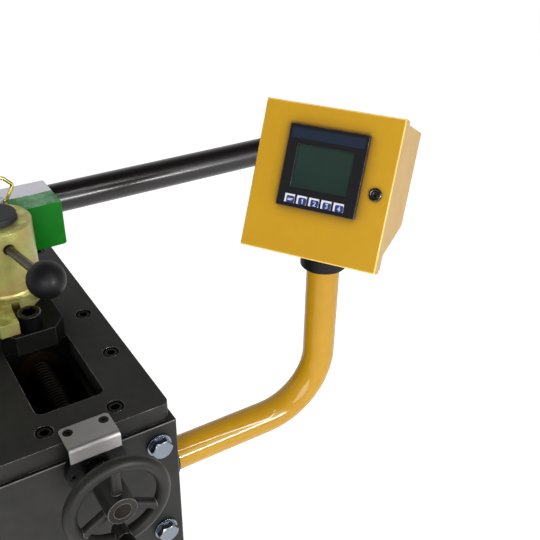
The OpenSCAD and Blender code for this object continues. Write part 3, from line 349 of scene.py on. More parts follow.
# The next two rim finishes are paler than their paint: a painted highlight along rounded edges.
block_rim_highlight = enamel("oiled black enamel with a painted highlight at the rim", (46, 45, 42), (30, 29, 28), (90, 88, 84), 0.42,
                   gloss=0.2)
rim_highlight_paint = enamel("black enamel with a painted highlight at the rim", (120, 117, 112), (70, 68, 66), (176, 170, 162), 0.36,
                   gloss=0.4)
FINISHES["ochre_paint"] = enamel("ochre enamel", (198, 149, 32), (188, 140, 28), (240, 196, 96), 0.42,
                                 coat=0.5, gloss=0.1, edge=1.6 * MM, dusty=0.0)
# A paler ochre for rounded edges: a painted highlight where the bend catches light, over paint that is thin
# there.
box_rim_highlight = enamel("ochre enamel with a painted highlight at the rim", (252, 218, 124), (244, 204, 104), (255, 236, 170), 0.4,
                 coat=0.3, gloss=0.3)
# Ochre sheet enamel with a brown painted shade in the box's corners and a painted shadow round the display
# frame.
box_paint = enamel("ochre sheet enamel with painted shade", (200, 152, 25), (195, 146, 21), (244, 212, 124), 0.46, coat=0.35,
                   gloss=0.3, edge=2.6 * MM, wear=1.0, dusty=0.0, shade=(112, 78, 14), reach=16 * MM)
FINISHES["drive_paint"] = enamel("grey-blue enamel", (92, 106, 118), (76, 90, 102), (150, 150, 150), 0.4,
                                 wear=0.4, dusty=0.35)
print("enamels:", len(FINISHES))


# %% [markdown]
# ## Ground, turned and rolled metal
# Bare steel is a metal shader whose roughness, colour and height all follow the same tool lines, so
# that the lines shine together. The direction of the lines is the direction in which the piece was
# ground. A turned piece gets lines across its own axis.

# %% Metals
LINES_ALONG_X = (12.0, 1500.0, 1500.0)
LINES_ALONG_Y = (1500.0, 12.0, 1500.0)
LINES_ROUND_Z = (60.0, 60.0, 2600.0)
LINE_DEPTH = 0.03 * MM


def metal(name, colour, dark, rough, stretch=LINES_ROUND_Z, spread=0.14, edge=0.6 * MM, contrast=1.2,
          shine=1.0):
    """Bare metal whose tool lines run as the stretch says; spread is how much its roughness varies."""
    material, tree, shader = new_material(name)
    edge_of = use_group(tree, edges, Width=edge)
    line_of = use_group(tree, lines, Stretch=stretch, Contrast=contrast)
    tone = use_group(tree, blotches, Large=16.0)["Value"]
    shade = mixed(tree, line_of["Value"], colour, dark)
    shade = mixed(tree, product(tree, tone, 0.35), shade, dark)
    bright = product(tree, edge_of["Wear"], 0.5)
    fill(tree, shader, Base_Color=mixed(tree, bright, shade, colour), Metallic=shine,
         Roughness=ranged(tree, line_of["Value"], 0.0, 1.0, rough, rough + spread))
    relief(tree, shader, line_of, LINE_DEPTH, 0.5, edge_of)
    return material


FINISHES["ground_steel"] = metal("ground steel", (190, 192, 196), (150, 152, 158), 0.28, LINES_ALONG_X)
FINISHES["tool_steel"] = metal("turned tool steel", (122, 116, 104), (72, 69, 62), 0.3)
FINISHES["stainless"] = metal("brushed stainless", (180, 177, 175), (148, 146, 144), 0.46, LINES_ALONG_X,
                              spread=0.08, edge=1.2 * MM, contrast=0.6)
# A paler steel for the guard's bends: a painted highlight on the folded edges.
rim_highlight_steel = metal("bent edge with painted highlight", (236, 233, 230), (206, 203, 200), 0.22, LINES_ALONG_X, spread=0.06,
                   contrast=0.4)
FINISHES["bright_zinc"] = metal("bright zinc", (146, 152, 160), (100, 108, 120), 0.16, spread=0.1,
                                contrast=0.4)
ring_zinc = metal("bright yellow zinc", (232, 226, 140), (176, 160, 70), 0.14, spread=0.1, contrast=0.8)
rubbed_rim = metal("rubbed counterbore rim", (116, 114, 112), (50, 49, 48), 0.2, spread=0.1, contrast=1.6)
polished_oxide = metal("polished black oxide", (96, 92, 92), (56, 54, 54), 0.12, spread=0.06, contrast=0.4)
FINISHES["bearing_steel"] = metal("bearing steel", (205, 207, 210), (176, 178, 182), 0.12, spread=0.06)
FINISHES["gear_steel"] = metal("greased gear steel", (120, 118, 114), (74, 70, 64), 0.3)
FINISHES["bronze"] = metal("greased bronze", (70, 52, 30), (36, 28, 18), 0.42)
oiled_screw = metal("oiled screw steel", (58, 54, 50), (28, 26, 24), 0.4)
oiled_strip = metal("oiled strip steel", (96, 95, 94), (56, 55, 55), 0.38, LINES_ALONG_Y)
FINISHES["black_oxide"] = metal("black oxide", (44, 42, 42), (22, 21, 22), 0.24, shine=0.85, contrast=0.6)
print("metals:", len(FINISHES))


# %% [markdown]
# ## The gold hub
# The hub is a steel casting with yellow zinc plating. Yellow passivate is greenish gold, and the
# casting's skin shows through. The brown in its corners and round the cap is painted shade: ambient
# occlusion, which knows where faces meet, darkens the colour there. Level faces get a paler painted sheen.

# %% Gold zinc
def gold_zinc():
    """Gold with a painted sheen on level faces and a brown painted shade in the corners."""
    material, tree, shader = new_material("yellow zinc")
    edge_of = use_group(tree, edges, Width=1.2 * MM, Patch_size=90.0)
    tone = use_group(tree, blotches, Large=22.0, Small=150.0)["Value"]
    cast = use_group(tree, skin, Size=520.0)
    # Painted shade: ambient occlusion mixes the gold towards brown in corners and round the cap.
    shade_occlusion = add(tree, "ShaderNodeAmbientOcclusion", Distance=12 * MM)
    shade_occlusion.samples = 8
    corner = ranged(tree, shade_occlusion.outputs["AO"], 0.45, 0.95, 0.8, 0.0)
    gold = mixed(tree, tone, (168, 172, 101), (158, 140, 84))
    # Painted sheen: level faces are mixed towards a pale gold for the light they catch.
    top = use_group(tree, dust_and_sheen, Amount=0.75, Clumps=60.0)["Mask"]
    gold = mixed(tree, top, gold, (232, 250, 152))
    gold = mixed(tree, product(tree, edge_of["Wear"], 0.15), gold, (214, 208, 150))
    fill(tree, shader, Base_Color=mixed(tree, corner, gold, (122, 88, 48)), Metallic=0.55,
         Roughness=ranged(tree, tone, 0.0, 1.0, 0.34, 0.46))
    relief(tree, shader, cast, 0.18 * MM, 0.4, edge_of)
    return material


FINISHES["gold_zinc"] = gold_zinc()
print("finish: yellow zinc")


# %% [markdown]
# ## The counter die: enamel in front, ground steel behind
# The die is dipped in green enamel and then its working half is ground bare. The border is a straight
# line across the top, some way behind the front face, so the mask is the piece's own Y coordinate
# with a slight waver. The same mask switches colour, metal and roughness together.

# %% Green enamel with a bare half
DIE_PAINT_DEPTH = 41 * MM
BORDER_WAVER = 1.2 * MM
BORDER_BLUR = 0.6 * MM


def green_die(border):
    """Green in front of a border along Y, ground steel behind it, with a paler painted reflection on the
    green top.
    """
    material, tree, shader = new_material("green enamel")
    place = object_place(tree)
    split = add(tree, "ShaderNodeSeparateXYZ", Vector=place)
    waver = ranged(tree, noise(tree, place, 160.0), 0.3, 0.7, -BORDER_WAVER, BORDER_WAVER)
    depth = maths(tree, "ADD", split.outputs["Y"], waver)
    bare = ranged(tree, depth, border - BORDER_BLUR, border + BORDER_BLUR)
    edge_of = use_group(tree, edges, Width=1.2 * MM)
    line_of = use_group(tree, lines, Stretch=LINES_ALONG_X, Contrast=1.2)
    tone = use_group(tree, blotches, Large=18.0)["Value"]
    green = mixed(tree, tone, (16, 124, 28), (12, 112, 26))
    green = mixed(tree, product(tree, edge_of["Wear"], 0.35), green, (90, 160, 96))
    steel = mixed(tree, line_of["Value"], (222, 220, 226), (186, 184, 192))
    # Painted reflection: upward faces of the green are mixed towards a pale grey-green.
    top_sheen = use_group(tree, dust_and_sheen, Amount=0.75, Clumps=30.0)["Mask"]
    green = mixed(tree, top_sheen, green, (166, 212, 184))
    fill(tree, shader, Base_Color=mixed(tree, bare, green, steel), Metallic=product(tree, bare, 0.9),
         Roughness=ranged(tree, bare, 0.0, 1.0, 0.26, 0.36), Specular_IOR_Level=0.12)
    relief(tree, shader, line_of, 0.02 * MM, 0.4, edge_of)
    return material


die_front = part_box("counter_die")[0].y
FINISHES["green_paint"] = green_die(die_front + DIE_PAINT_DEPTH)
print("die front at y =", round(die_front, 4))


# %% [markdown]
# ## The tube
# Drawn steel tube comes with a dark, slightly brown mill skin under a film of oil. The skin is a dark
# colour, the oil a clear coat, and faint draw lines run along the tube.

# %% Dark tube
DRAW_LINES = (6.0, 900.0, 900.0)


def dark_tube():
    """Dark skin with draw lines under a coat of oil."""
    material, tree, shader = new_material("mill-dark tube")
    line_of = use_group(tree, lines, Stretch=DRAW_LINES, Contrast=1.6)
    tone = use_group(tree, blotches, Large=12.0, Small=90.0)["Value"]
    edge_of = use_group(tree, edges, Width=0.5 * MM)
    dark = mixed(tree, line_of["Value"], (17, 15, 16), (30, 26, 27))
    dark = mixed(tree, product(tree, tone, 0.4), dark, (34, 25, 24))
    fill(tree, shader, Base_Color=mixed(tree, edge_of["Wear"], dark, (150, 148, 146)), Metallic=0.08,
         Roughness=ranged(tree, tone, 0.0, 1.0, 0.34, 0.42), Specular_IOR_Level=0.2, Coat_Weight=0.45,
         Coat_Roughness=0.2)
    relief(tree, shader, line_of, LINE_DEPTH, 0.4, edge_of)
    return material


FINISHES["dark_tube"] = dark_tube()
print("finish: mill-dark tube")


# %% [markdown]
# ## Plastics
# Caps, knobs, keys and the display frame are moulded plastic: no metal, a fine skin and a roughness
# that varies a little where fingers have polished it.

# %% Plastic
GRAIN_DEPTH = 0.06 * MM
RUBBED_SHARE = 0.3


def plastic(name, colour, worn, rough, grain=1600.0, coat=0.0, gloss=0.5):
    """Moulded plastic with a grain of that many bumps to the metre."""
    material, tree, shader = new_material(name)
    edge_of = use_group(tree, edges, Width=0.7 * MM)
    tone = use_group(tree, blotches, Large=30.0, Small=200.0)["Value"]
    grain_of = use_group(tree, skin, Size=grain)
    base = mixed(tree, product(tree, tone, 0.25), colour, worn)
    rubbed = product(tree, edge_of["Wear"], RUBBED_SHARE)
    fill(tree, shader, Base_Color=mixed(tree, rubbed, base, worn), Specular_IOR_Level=gloss,
         Roughness=ranged(tree, tone, 0.0, 1.0, rough, rough + 0.12), Coat_Weight=coat, Coat_Roughness=0.1)
    relief(tree, shader, grain_of, GRAIN_DEPTH, 0.4, edge_of)
    return material


FINISHES["black_plastic"] = plastic("black plastic", (26, 26, 27), (62, 62, 62), 0.38, gloss=0.35)
FINISHES["gloss_black"] = plastic("phenolic black", (21, 21, 23), (36, 36, 39), 0.42, coat=0.02, gloss=0.16)
FINISHES["cap_plastic"] = plastic("charcoal cap", (44, 44, 47), (66, 66, 70), 0.5, gloss=0.25, grain=1100.0)
FINISHES["key_plastic"] = plastic("white keys", (226, 228, 238), (196, 200, 216), 0.35)
FINISHES["stop_red"] = plastic("signal red", (190, 26, 20), (216, 70, 56), 0.28, coat=0.3)
legend_blue = plastic("key legend blue", (34, 48, 112), (60, 76, 140), 0.35)
print("finishes so far:", len(FINISHES))


# %% [markdown]
# ## The display
# The display frame carries a navy band across its top, and the box it sits on leans back and is
# turned towards the operator. To paint a band on it, the shader needs coordinates along the panel.
# A group turns model coordinates into distances across and up the panel, from the panel's middle and
# its two directions.

# %% Group for panel coordinates
def middle_of(name):
    """Middle of a node's box."""
    low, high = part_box(name)
    return (low + high) / 2


YAW = math.radians(-55.6)
PITCH = math.radians(26.2)
PANEL_TURN = Matrix.Rotation(YAW, 3, "Z") @ Matrix.Rotation(-PITCH, 3, "X")
ACROSS = PANEL_TURN @ Vector((1, 0, 0))
OUTWARD = PANEL_TURN @ Vector((0, -1, 0))
UPWARD = PANEL_TURN @ Vector((0, 0, 1))
window_middle = middle_of("display_window")
panel, g_in, g_out = new_group(
    "panel coordinates",
    [("Middle", VECTOR, (0, 0, 0)), ("Across", VECTOR, (1, 0, 0)), ("Up", VECTOR, (0, 0, 1))],
    [("Across", FLOAT), ("Up", FLOAT)])
away = maths(panel, "SUBTRACT", object_place(panel), g_in["Middle"], VECTOR_MATHS)["Vector"]
for label in ("Across", "Up"):
    along = maths(panel, "DOT_PRODUCT", away, g_in[label], VECTOR_MATHS)["Value"]
    feed(panel, g_out[label], along)
print("window middle:", window_middle)


# %% [markdown]
# Each border on the panel is a pair of distances from its middle, where the change begins and where
# it ends. The band lies between two such borders, and only the frame's own rim looks rubbed.

# %% Display frame and window
BAND_LOW = (31.5 * MM, 32.5 * MM)
BAND_HIGH = (43.2 * MM, 44.0 * MM)
BAND_END = (44.0 * MM, 44.8 * MM)
FRAME_RIM = (45.5 * MM, 46.5 * MM)
WINDOW_HALF = 26 * MM


def display_frame_finish():
    """Black moulding with the navy band and a rubbed rim."""
    material, tree, shader = new_material("display frame")
    at = use_group(tree, panel, Middle=window_middle, Across=ACROSS, Up=UPWARD)
    across = maths(tree, "ABSOLUTE", at["Across"])
    edge_of = use_group(tree, edges, Width=1.3 * MM)
    grain_of = use_group(tree, skin, Size=1500.0)
    over = ranged(tree, at["Up"], *BAND_LOW)
    under = ranged(tree, at["Up"], *BAND_HIGH, 1.0, 0.0)
    band = product(tree, product(tree, over, under), ranged(tree, across, *BAND_END, 1.0, 0.0))
    base = mixed(tree, band, (29, 29, 32), (32, 42, 58))
    outer = maths(tree, "MAXIMUM", across, maths(tree, "ABSOLUTE", at["Up"]))
    rubbed = product(tree, edge_of["Wear"], ranged(tree, outer, *FRAME_RIM))
    fill(tree, shader, Base_Color=mixed(tree, rubbed, base, (128, 122, 118)), Specular_IOR_Level=0.3,
         Roughness=ranged(tree, band, 0.0, 1.0, 0.32, 0.4))
    relief(tree, shader, grain_of, 0.04 * MM, 0.3, edge_of)
    return material


def display_window_finish():
    """Dark green glass that is a little paler towards its top."""
    material, tree, shader = new_material("display window")
    tone = use_group(tree, blotches, Large=26.0, Small=60.0)["Value"]
    at = use_group(tree, panel, Middle=window_middle, Across=ACROSS, Up=UPWARD)
    shade = ranged(tree, at["Up"], -WINDOW_HALF, WINDOW_HALF)
    green = mixed(tree, shade, (38, 53, 47), (43, 60, 54))
    green = mixed(tree, product(tree, tone, 0.3), green, (34, 51, 48))
    fill(tree, shader, Base_Color=green, Roughness=0.22, Specular_IOR_Level=0.25)
    return material


FINISHES["bezel_plastic"] = display_frame_finish()
FINISHES["display_glass"] = display_window_finish()
print("finishes:", len(FINISHES))


# %% [markdown]
# ## Giving every CAD node its finish
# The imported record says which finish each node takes, and a few nodes have one of their own. One loop
# puts the new material in each of the node's slots, and leaves its mesh alone.

# %% Finishes on the nodes
slot_of = {part["node"]: part["material_slot"] for part in frame["record"]["subparts"]}
own_finish = {"guide_strips": oiled_strip, "lead_screw": oiled_screw, "slide_block": block_paint,
              "box_door": box_paint, "box_shell": box_paint}
for name, piece in nodes.items():
    for slot in piece.material_slots:
        slot.material = own_finish.get(name, FINISHES[slot_of[name]])
print("dressed nodes:", len(slot_of))


# %% [markdown]
# ## Parts that CAD leaves plain
# Some small shapes are easier and better in mesh code than in CAD: a true helical thread, a wire that
# is bent and not mitred, the marks on the keys. Each new piece rides on the body that carries it, so
# it moves with the joints, and a piece that takes a CAD node's place says which one it replaces.

# %% Helpers for new pieces
TO_RIGHT, TO_REAR, TO_TOP = Vector((1, 0, 0)), Vector((0, 1, 0)), Vector((0, 0, 1))
SHARP_ANGLE = math.radians(35)


def new_piece(name, mesh_maker, body, slot, finish=None, rim=None, replaces=(), smooth=True):
    """Hangs what the mesh maker puts in a bmesh on a body; rim is a second finish, for its edges, paler as a
    painted highlight.
    """
    work = bmesh.new()
    mesh_maker(work)
    bmesh.ops.recalc_face_normals(work, faces=work.faces)
    mesh = bpy.data.meshes.new(name)
    work.to_mesh(mesh)
    work.free()
    mesh.materials.append(finish or FINISHES[slot])
    if rim:
        mesh.materials.append(rim)
    if smooth:
        mesh.shade_smooth()
        mesh.set_sharp_from_angle(angle=SHARP_ANGLE)
    piece = bpy.data.objects.new(name, mesh)
    bpy.context.collection.objects.link(piece)
    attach(piece, body)
    if replaces:
        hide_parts(*replaces)
    return piece


def skin_rings(work, rings, closed=False):
    """Joins rings of points with quads; a closed row ends where it began, and others get caps."""
    rows = [[work.verts.new(point) for point in ring] for ring in rings]
    pairs = list(zip(rows, rows[1:])) + ([(rows[-1], rows[0])] if closed else [])
    for low, high in pairs:
        count = len(low)
        for k in range(count):
            work.faces.new((low[k], low[(k + 1) % count], high[(k + 1) % count], high[k]))
    if not closed:
        work.faces.new(rows[0][::-1])
        work.faces.new(rows[-1])


def circle_points(centre, side, up, radius, count):
    """Points of a circle in the plane of two unit directions."""
    return [centre + radius * (math.cos(turn) * side + math.sin(turn) * up)
            for turn in (2 * math.pi * k / count for k in range(count))]


def radius_of(name):
    """Half of a node's width along X."""
    low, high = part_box(name)
    return (high.x - low.x) / 2


print("piece helpers ready")


# %% [markdown]
# ## Rounded edges on plates and folded sheet
# CAD edges are perfectly sharp, but a folded sheet has a bend radius and a machined plate has its
# edges broken. The CAD meshes are triangles, so coplanar ones are joined first, and then only the
# outer edges are bevelled: those round the face that looks in one direction, or all the longer ones.
# The bevel's faces get a second, lighter finish: a painted highlight for the light that a rounded edge
# catches, on paint that is also thin there and rubbed by hands. A weighted normal modifier keeps the
# large faces evenly shaded.

# %% Rounded copies of CAD nodes
bodies = frame["record"]["behaviour"]["bodies"]
body_of = {name: body for body, names in bodies.items() for name in names}
FLAT_WITHIN = math.radians(0.5)
SHARP_FROM = math.radians(40)
SAME_PLACE = 0.0001 * MM
ON_OUTLINE = 0.1 * MM


def rounded_copy(name, width, rim, toward=None, least=0.0):
    """Takes a CAD node's place with rounded edges: round its face in a direction, or all above a length."""

    def outermost(work, edge):
        """True for an edge between the face that looks toward the direction and the node's own outline."""
        side = [face for face in edge.link_faces if face.normal.dot(toward) < 0.5]
        if len(side) != 1:
            return False
        way = side[0].normal
        far, front = (max(vertex.co.dot(axis) for vertex in work.verts) for axis in (way, toward))
        middle = (edge.verts[0].co + edge.verts[1].co) / 2
        return far - middle.dot(way) < ON_OUTLINE and front - middle.dot(toward) < ON_OUTLINE

    def shape(work):
        work.from_mesh(nodes[name].data)
        bmesh.ops.remove_doubles(work, verts=work.verts, dist=SAME_PLACE)
        bmesh.ops.dissolve_limit(work, angle_limit=FLAT_WITHIN, verts=work.verts, edges=work.edges)
        convex = [edge for edge in work.edges if len(edge.link_faces) == 2 and edge.calc_length() > least
                  and edge.calc_face_angle_signed(0) > SHARP_FROM]
        chosen = [edge for edge in convex if toward is None or outermost(work, edge)]
        bmesh.ops.bevel(work, geom=chosen, offset=width, segments=3, profile=0.5, affect="EDGES",
                        clamp_overlap=toward is None, material=1)
        print(name, "rounded edges:", len(chosen), "faces:", len(work.faces))

    slot = slot_of[name]
    finish = own_finish.get(name, FINISHES[slot])
    copy = new_piece(f"{name}_rounded", shape, body_of[name], slot, finish, rim=rim, replaces=(name,))
    copy.modifiers.new("even shading", "WEIGHTED_NORMAL").keep_sharp = True


DOOR_ROUND, BLOCK_ROUND, PLATE_ROUND, GUARD_ROUND = 1.4 * MM, 0.8 * MM, 1.0 * MM, 0.6 * MM
GUARD_LEAST = 8 * MM
# Each copy's bevel faces take the paler rim finish, a painted highlight.
rounded_copy("box_door", DOOR_ROUND, box_rim_highlight, toward=OUTWARD)
rounded_copy("slide_block", BLOCK_ROUND, block_rim_highlight, toward=TO_TOP)
rounded_copy("front_plate", PLATE_ROUND, rim_highlight_paint, toward=-TO_REAR)
rounded_copy("cabinet_door", DOOR_ROUND, box_rim_highlight, toward=-TO_REAR)
rounded_copy("screw_guard", GUARD_ROUND, rim_highlight_steel, least=GUARD_LEAST)


# %% [markdown]
# ## The feed screw
# CAD stands the thread in with plain rings. A real feed screw has one helix with a flat crest and
# sloping sides. The easiest closed mesh is a tube whose radius changes with both the distance along
# the screw and the turn around it: where the two are in step, the same radius repeats and a helix
# appears.

# %% Feed screw with a real thread
SCREW_PITCH = 6 * MM
CREST_R, ROOT_R = 14 * MM, 11.2 * MM
JOURNAL_R, NECK_R, TAIL_R = 10 * MM, 12 * MM, 8 * MM
NECK_AT, THREAD_FROM, THREAD_TO = 106 * MM, 133.4 * MM, 463.4 * MM  # from the front end
RISE_AT, FALL_AT, SLOPE = 0.28, 0.86, 0.14  # shares of one turn
ROWS_PER_TURN = 12
AROUND = 28


def thread_radius(turns):
    """Radius of the thread after some turns: root, slope, crest, slope."""
    share = turns % 1.0
    rise = min(max((share - RISE_AT) / SLOPE, 0), 1) - min(max((share - FALL_AT) / SLOPE, 0), 1)
    return ROOT_R + rise * (CREST_R - ROOT_R)


def feed_screw(work):
    """Journal, neck, thread and tail as one closed tube."""
    low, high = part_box("lead_screw")
    middle = (low + high) / 2
    first, last = low.y + THREAD_FROM, low.y + THREAD_TO

    def ring_at(y, radius_at):
        """A ring whose radius is given for each share of a turn."""
        ring = []
        for k in range(AROUND):
            turn, radius = 2 * math.pi * k / AROUND, radius_at(k / AROUND)
            ring.append(Vector((middle.x + radius * math.cos(turn), y, middle.z + radius * math.sin(turn))))
        return ring

    neck = low.y + NECK_AT
    rings = [ring_at(y, lambda share: radius) for y, radius in
             ((low.y, JOURNAL_R), (neck, JOURNAL_R), (neck, NECK_R), (first, NECK_R))]
    count = round((last - first) / SCREW_PITCH * ROWS_PER_TURN)
    for row in range(count + 1):
        y = first + (last - first) * row / count
        rings.append(ring_at(y, lambda share: thread_radius((y - first) / SCREW_PITCH - share)))
    rings += [ring_at(y, lambda share: TAIL_R) for y in (last, high.y)]
    skin_rings(work, rings)


screw = new_piece("feed_screw_thread", feed_screw, "feed_screw", slot_of["lead_screw"], oiled_screw,
                  replaces=("lead_screw",), smooth=False)
print("feed screw faces:", len(screw.data.polygons))


# %% [markdown]
# ## The wire ring on the die pin
# A wire ring is bent over a form, so its six corners are round, and in the photograph its upper half
# is flatter than its lower one. The path is six corner points, each replaced by a short arc, and a
# small circle is carried along it. It stands in the upright plane of its own hinge.

# %% Wire ring
CORNER_BEND = 5 * MM
ARC_STEPS = 6
WIRE_SIDES = 14
TOP_SHARE = 0.6


def rounded_loop(corners, bend):
    """Centre points and outward directions round a flat loop (x, z) whose corners are arcs."""
    points = []
    for k, here in enumerate(corners):
        came = (here - corners[k - 1]).normalized()
        goes = (corners[(k + 1) % len(corners)] - here).normalized()
        half = came.angle(goes) / 2
        arc_middle = here + (goes - came).normalized() * bend / math.cos(half)
        first_turn = math.atan2(came.x, -came.y) - math.pi
        for part in range(ARC_STEPS + 1):
            turn = first_turn + 2 * half * part / ARC_STEPS
            out = Vector((math.cos(turn), math.sin(turn)))
            points.append((arc_middle + bend * out, out))
    return points


def wire_ring(work):
    """Round wire along the six-cornered loop."""
    low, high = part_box("pin_ring")
    wire = (high.y - low.y) / 2
    centre = (low + high) / 2
    bottom = (high.z - low.z) / 2 - wire
    side = bottom / math.cos(math.pi / 6)
    top = bottom * TOP_SHARE
    corners = [Vector(spot) for spot in ((side, 0), (side / 2, top), (-side / 2, top),
                                         (-side, 0), (-side / 2, -bottom), (side / 2, -bottom))]
    rings = [circle_points(centre + Vector((at.x, 0, at.y)), Vector((out.x, 0, out.y)), TO_REAR, wire,
                           WIRE_SIDES) for at, out in rounded_loop(corners, CORNER_BEND)]
    skin_rings(work, rings, closed=True)


ring = new_piece("bent_wire_ring", wire_ring, "ring", slot_of["pin_ring"], ring_zinc, replaces=("pin_ring",))
print("ring faces:", len(ring.data.polygons))


# %% [markdown]
# ## Marks on the keys
# The keys are pale squares, each with a dark blue rounded patch towards its lower right corner, and
# a pale mark on the patch. The first carries two plain bars and the others the numerals 1 to 4.
# Strokes are thin flat strips that follow short lists of points, so no typeface is needed.

# %% Key patches and numerals
def on_panel(name):
    """Lowest and highest place of a node across, up and out of the panel."""
    spots = [vertex.co for vertex in nodes[name].data.vertices]
    return [(min(spot.dot(way) for spot in spots), max(spot.dot(way) for spot in spots))
            for way in (ACROSS, UPWARD, OUTWARD)]


def panel_point(across, up, out):
    """The place that lies so far across, up and out of the panel."""
    return across * ACROSS + up * UPWARD + out * OUTWARD


def slab(work, outline, low, high):
    """A flat plate on the panel from an outline of (across, up) points."""
    skin_rings(work, [[panel_point(x, z, out) for x, z in outline] for out in (low, high)])


def rounded_outline(x, z, width, height, radius, steps=5):
    """Outline of a rectangle round (x, z) with arcs at its corners."""
    quarters = ((1, 1, 0), (-1, 1, 90), (-1, -1, 180), (1, -1, 270))
    return [(x + sx * (width / 2 - radius) + radius * math.cos(math.radians(first + 90 * k / steps)),
             z + sz * (height / 2 - radius) + radius * math.sin(math.radians(first + 90 * k / steps)))
            for sx, sz, first in quarters for k in range(steps + 1)]


def stroke(work, points, width, low, high):
    """A strip of even width along a line of points, as one closed plate for each stretch."""
    for here, there in zip(points, points[1:]):
        along = (there - here).normalized() * width / 2
        side = Vector((-along.y, along.x))
        slab(work, (here - along + side, here - along - side, there + along - side, there + along + side),
             low, high)


MARKS = {  # lines of (across, up) points, in shares of the mark's height
    1: [[(-1.2, 0.25), (1.2, 0.25)], [(-1.2, -0.35), (0.6, -0.35)]],
    2: [[(-0.3, 0.55), (0.1, 1.0), (0.1, -1.0)]],
    3: [[(-0.5, 0.7), (0.0, 1.0), (0.5, 0.6), (0.4, 0.1), (-0.5, -1.0), (0.55, -1.0)]],
    4: [[(-0.5, 1.0), (0.5, 1.0), (0.0, 0.2), (0.5, -0.3), (0.3, -0.9), (-0.5, -0.9)]],
    5: [[(0.25, -1.0), (0.25, 1.0), (-0.6, -0.4), (0.65, -0.4)]],
}
PATCH = (9.8 * MM, 8.0 * MM, 1.8 * MM)  # width, height and corner radius
PATCH_SHIFT = 1.2 * MM
PATCH_SINK, PATCH_RISE, MARK_RISE = 0.2 * MM, 0.12 * MM, 0.2 * MM
MARK_HEIGHT = 2.4 * MM
STROKE_WIDTH = 1.0 * MM
for key, lines_of in MARKS.items():
    name = f"key_{key}"
    (left, right), (bottom, top), (_, face) = on_panel(name)
    middle = Vector(((left + right) / 2 + PATCH_SHIFT, (bottom + top) / 2 - PATCH_SHIFT))

    def patch(work):
        slab(work, rounded_outline(*middle, *PATCH), face - PATCH_SINK, face + PATCH_RISE)

    def mark(work):
        for line in lines_of:
            points = [middle + Vector(point) * MARK_HEIGHT for point in line]
            stroke(work, points, STROKE_WIDTH, face, face + MARK_RISE)

    new_piece(f"{name}_patch", patch, body_of[name], slot_of[name], legend_blue)
    new_piece(f"{name}_mark", mark, body_of[name], slot_of[name], FINISHES["key_plastic"])
print("keys with a patch and a mark:", len(MARKS))


# %% [markdown]
# ## Small fittings
# Small rings finish places where one piece enters another or an edge was broken on a lathe: the bush
# round the lever rod, the grommet where the arm enters the head, the bead round the hub's cap, the
# chamfers of the counterbores and of the large screw, the lock's core and the collar's screw. Each
# is made by spinning an outline round its own axis. An outline's points are in millimetres: how far
# along the axis, and how far beyond the radius of the piece that carries it.

# %% Turned fittings
OUTLINES = {
    "lever_rod_bush": [(-3, 0.02), (0.2, 0.02), (0.5, 0.4), (0.3, 1.2), (-3, 1.6)],
    "arm_grommet": [(0, 0.1), (5, 0.1), (5.4, 1.2), (2.5, 4.2), (0, 4.8)],
    "counterbore_rims": [(-0.7, -0.05), (-0.45, -0.45), (0.08, 0.1), (0.1, 0.45), (-0.3, 0.3)],
    "stop_screw_rim": [(-1.4, -0.1), (-1.3, 0.12), (-0.5, 0.05), (0.1, -0.8), (0.12, -1.8), (-0.4, -1.8)],
    "cap_bead": [(3.2, -0.5), (3.2, 0.1), (3.7, 0.6), (4.6, 0.6), (5.1, 0.1), (5.1, -0.5)],
    "lock_core": [(-0.5, -0.1), (0.3, -0.6), (0.7, -1.5), (0.4, -2.4), (-0.6, -2.7), (-0.8, -1.5)],
    "lock plug": [(-1.3, 0), (-0.5, -0.1), (-0.4, -1.6), (-0.7, -2), (-1.3, -2.1)],
    "collar_screw": [(-5, -0.05), (-0.3, -0.05), (0, -0.4), (0, -1.5), (-2, -1.6), (-5, -1.6)],
}


def turned(work, outline, place, axis, radius, count=48):
    """Spins an outline round an axis through a place; it closes on itself."""
    axis = axis.normalized()
    side = axis.orthogonal().normalized()
    up = axis.cross(side)
    skin_rings(work, [circle_points(place + along * MM * axis, side, up, radius + beyond * MM, count)
                      for along, beyond in OUTLINES[outline]], closed=True)


def fitting(name, places, axis, radius, carrier, slot, finish=None, count=48):
    """A turned ring at each place, on the body of the node that carries it."""

    def shape(work):
        for place in places:
            turned(work, name, place, axis, radius, count)
    new_piece(name, shape, body_of[carrier], slot, finish)


print("outlines:", len(OUTLINES))


# %% [markdown]
# The rod's bush sits where the rod leaves the hub. The rod's far end and the ball's middle give its
# direction, and short steps along it find the hub's outside. The grommet sits where the arm leaves
# the head.

# %% Bush and grommet
ROD_R = 6 * MM
ROD_END = 13 * MM
HUB_R = 46.6 * MM
STEP = 0.5 * MM
ARM_R = 21.1 * MM
rod_spots = [vertex.co for vertex in nodes["lever_rod"].data.vertices]
ball_middle = middle_of("ball_knob")
far_end = max(rod_spots, key=lambda spot: (spot - ball_middle).length)
end_ring = [spot for spot in rod_spots if (spot - far_end).length < ROD_END]
rod_start = sum(end_ring, Vector()) / len(end_ring)
rod_way = (ball_middle - rod_start).normalized()
hub_axis = middle_of("hub_cap")
travelled = 0.0
while (rod_start + travelled * rod_way - hub_axis).xy.length < HUB_R:
    travelled += STEP
rod_exit = rod_start + travelled * rod_way
fitting("lever_rod_bush", [rod_exit], rod_way, ROD_R, "vice_hub", "black_oxide")
arm_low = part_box("control_arm")[0]
arm_entry = Vector((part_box("head_frame")[1].x, arm_low.y + ARM_R, arm_low.z + ARM_R))
fitting("arm_grommet", [arm_entry], TO_RIGHT, ARM_R, "head_frame", "black_plastic")
print("bush at", rod_exit, "grommet at", arm_entry)


# %% [markdown]
# The plate's screws are separate solids of one node. Walking from vertex to vertex over the edges
# finds them one by one, and each gives the place of one chamfer. Sorting them keeps their order the
# same in every run.

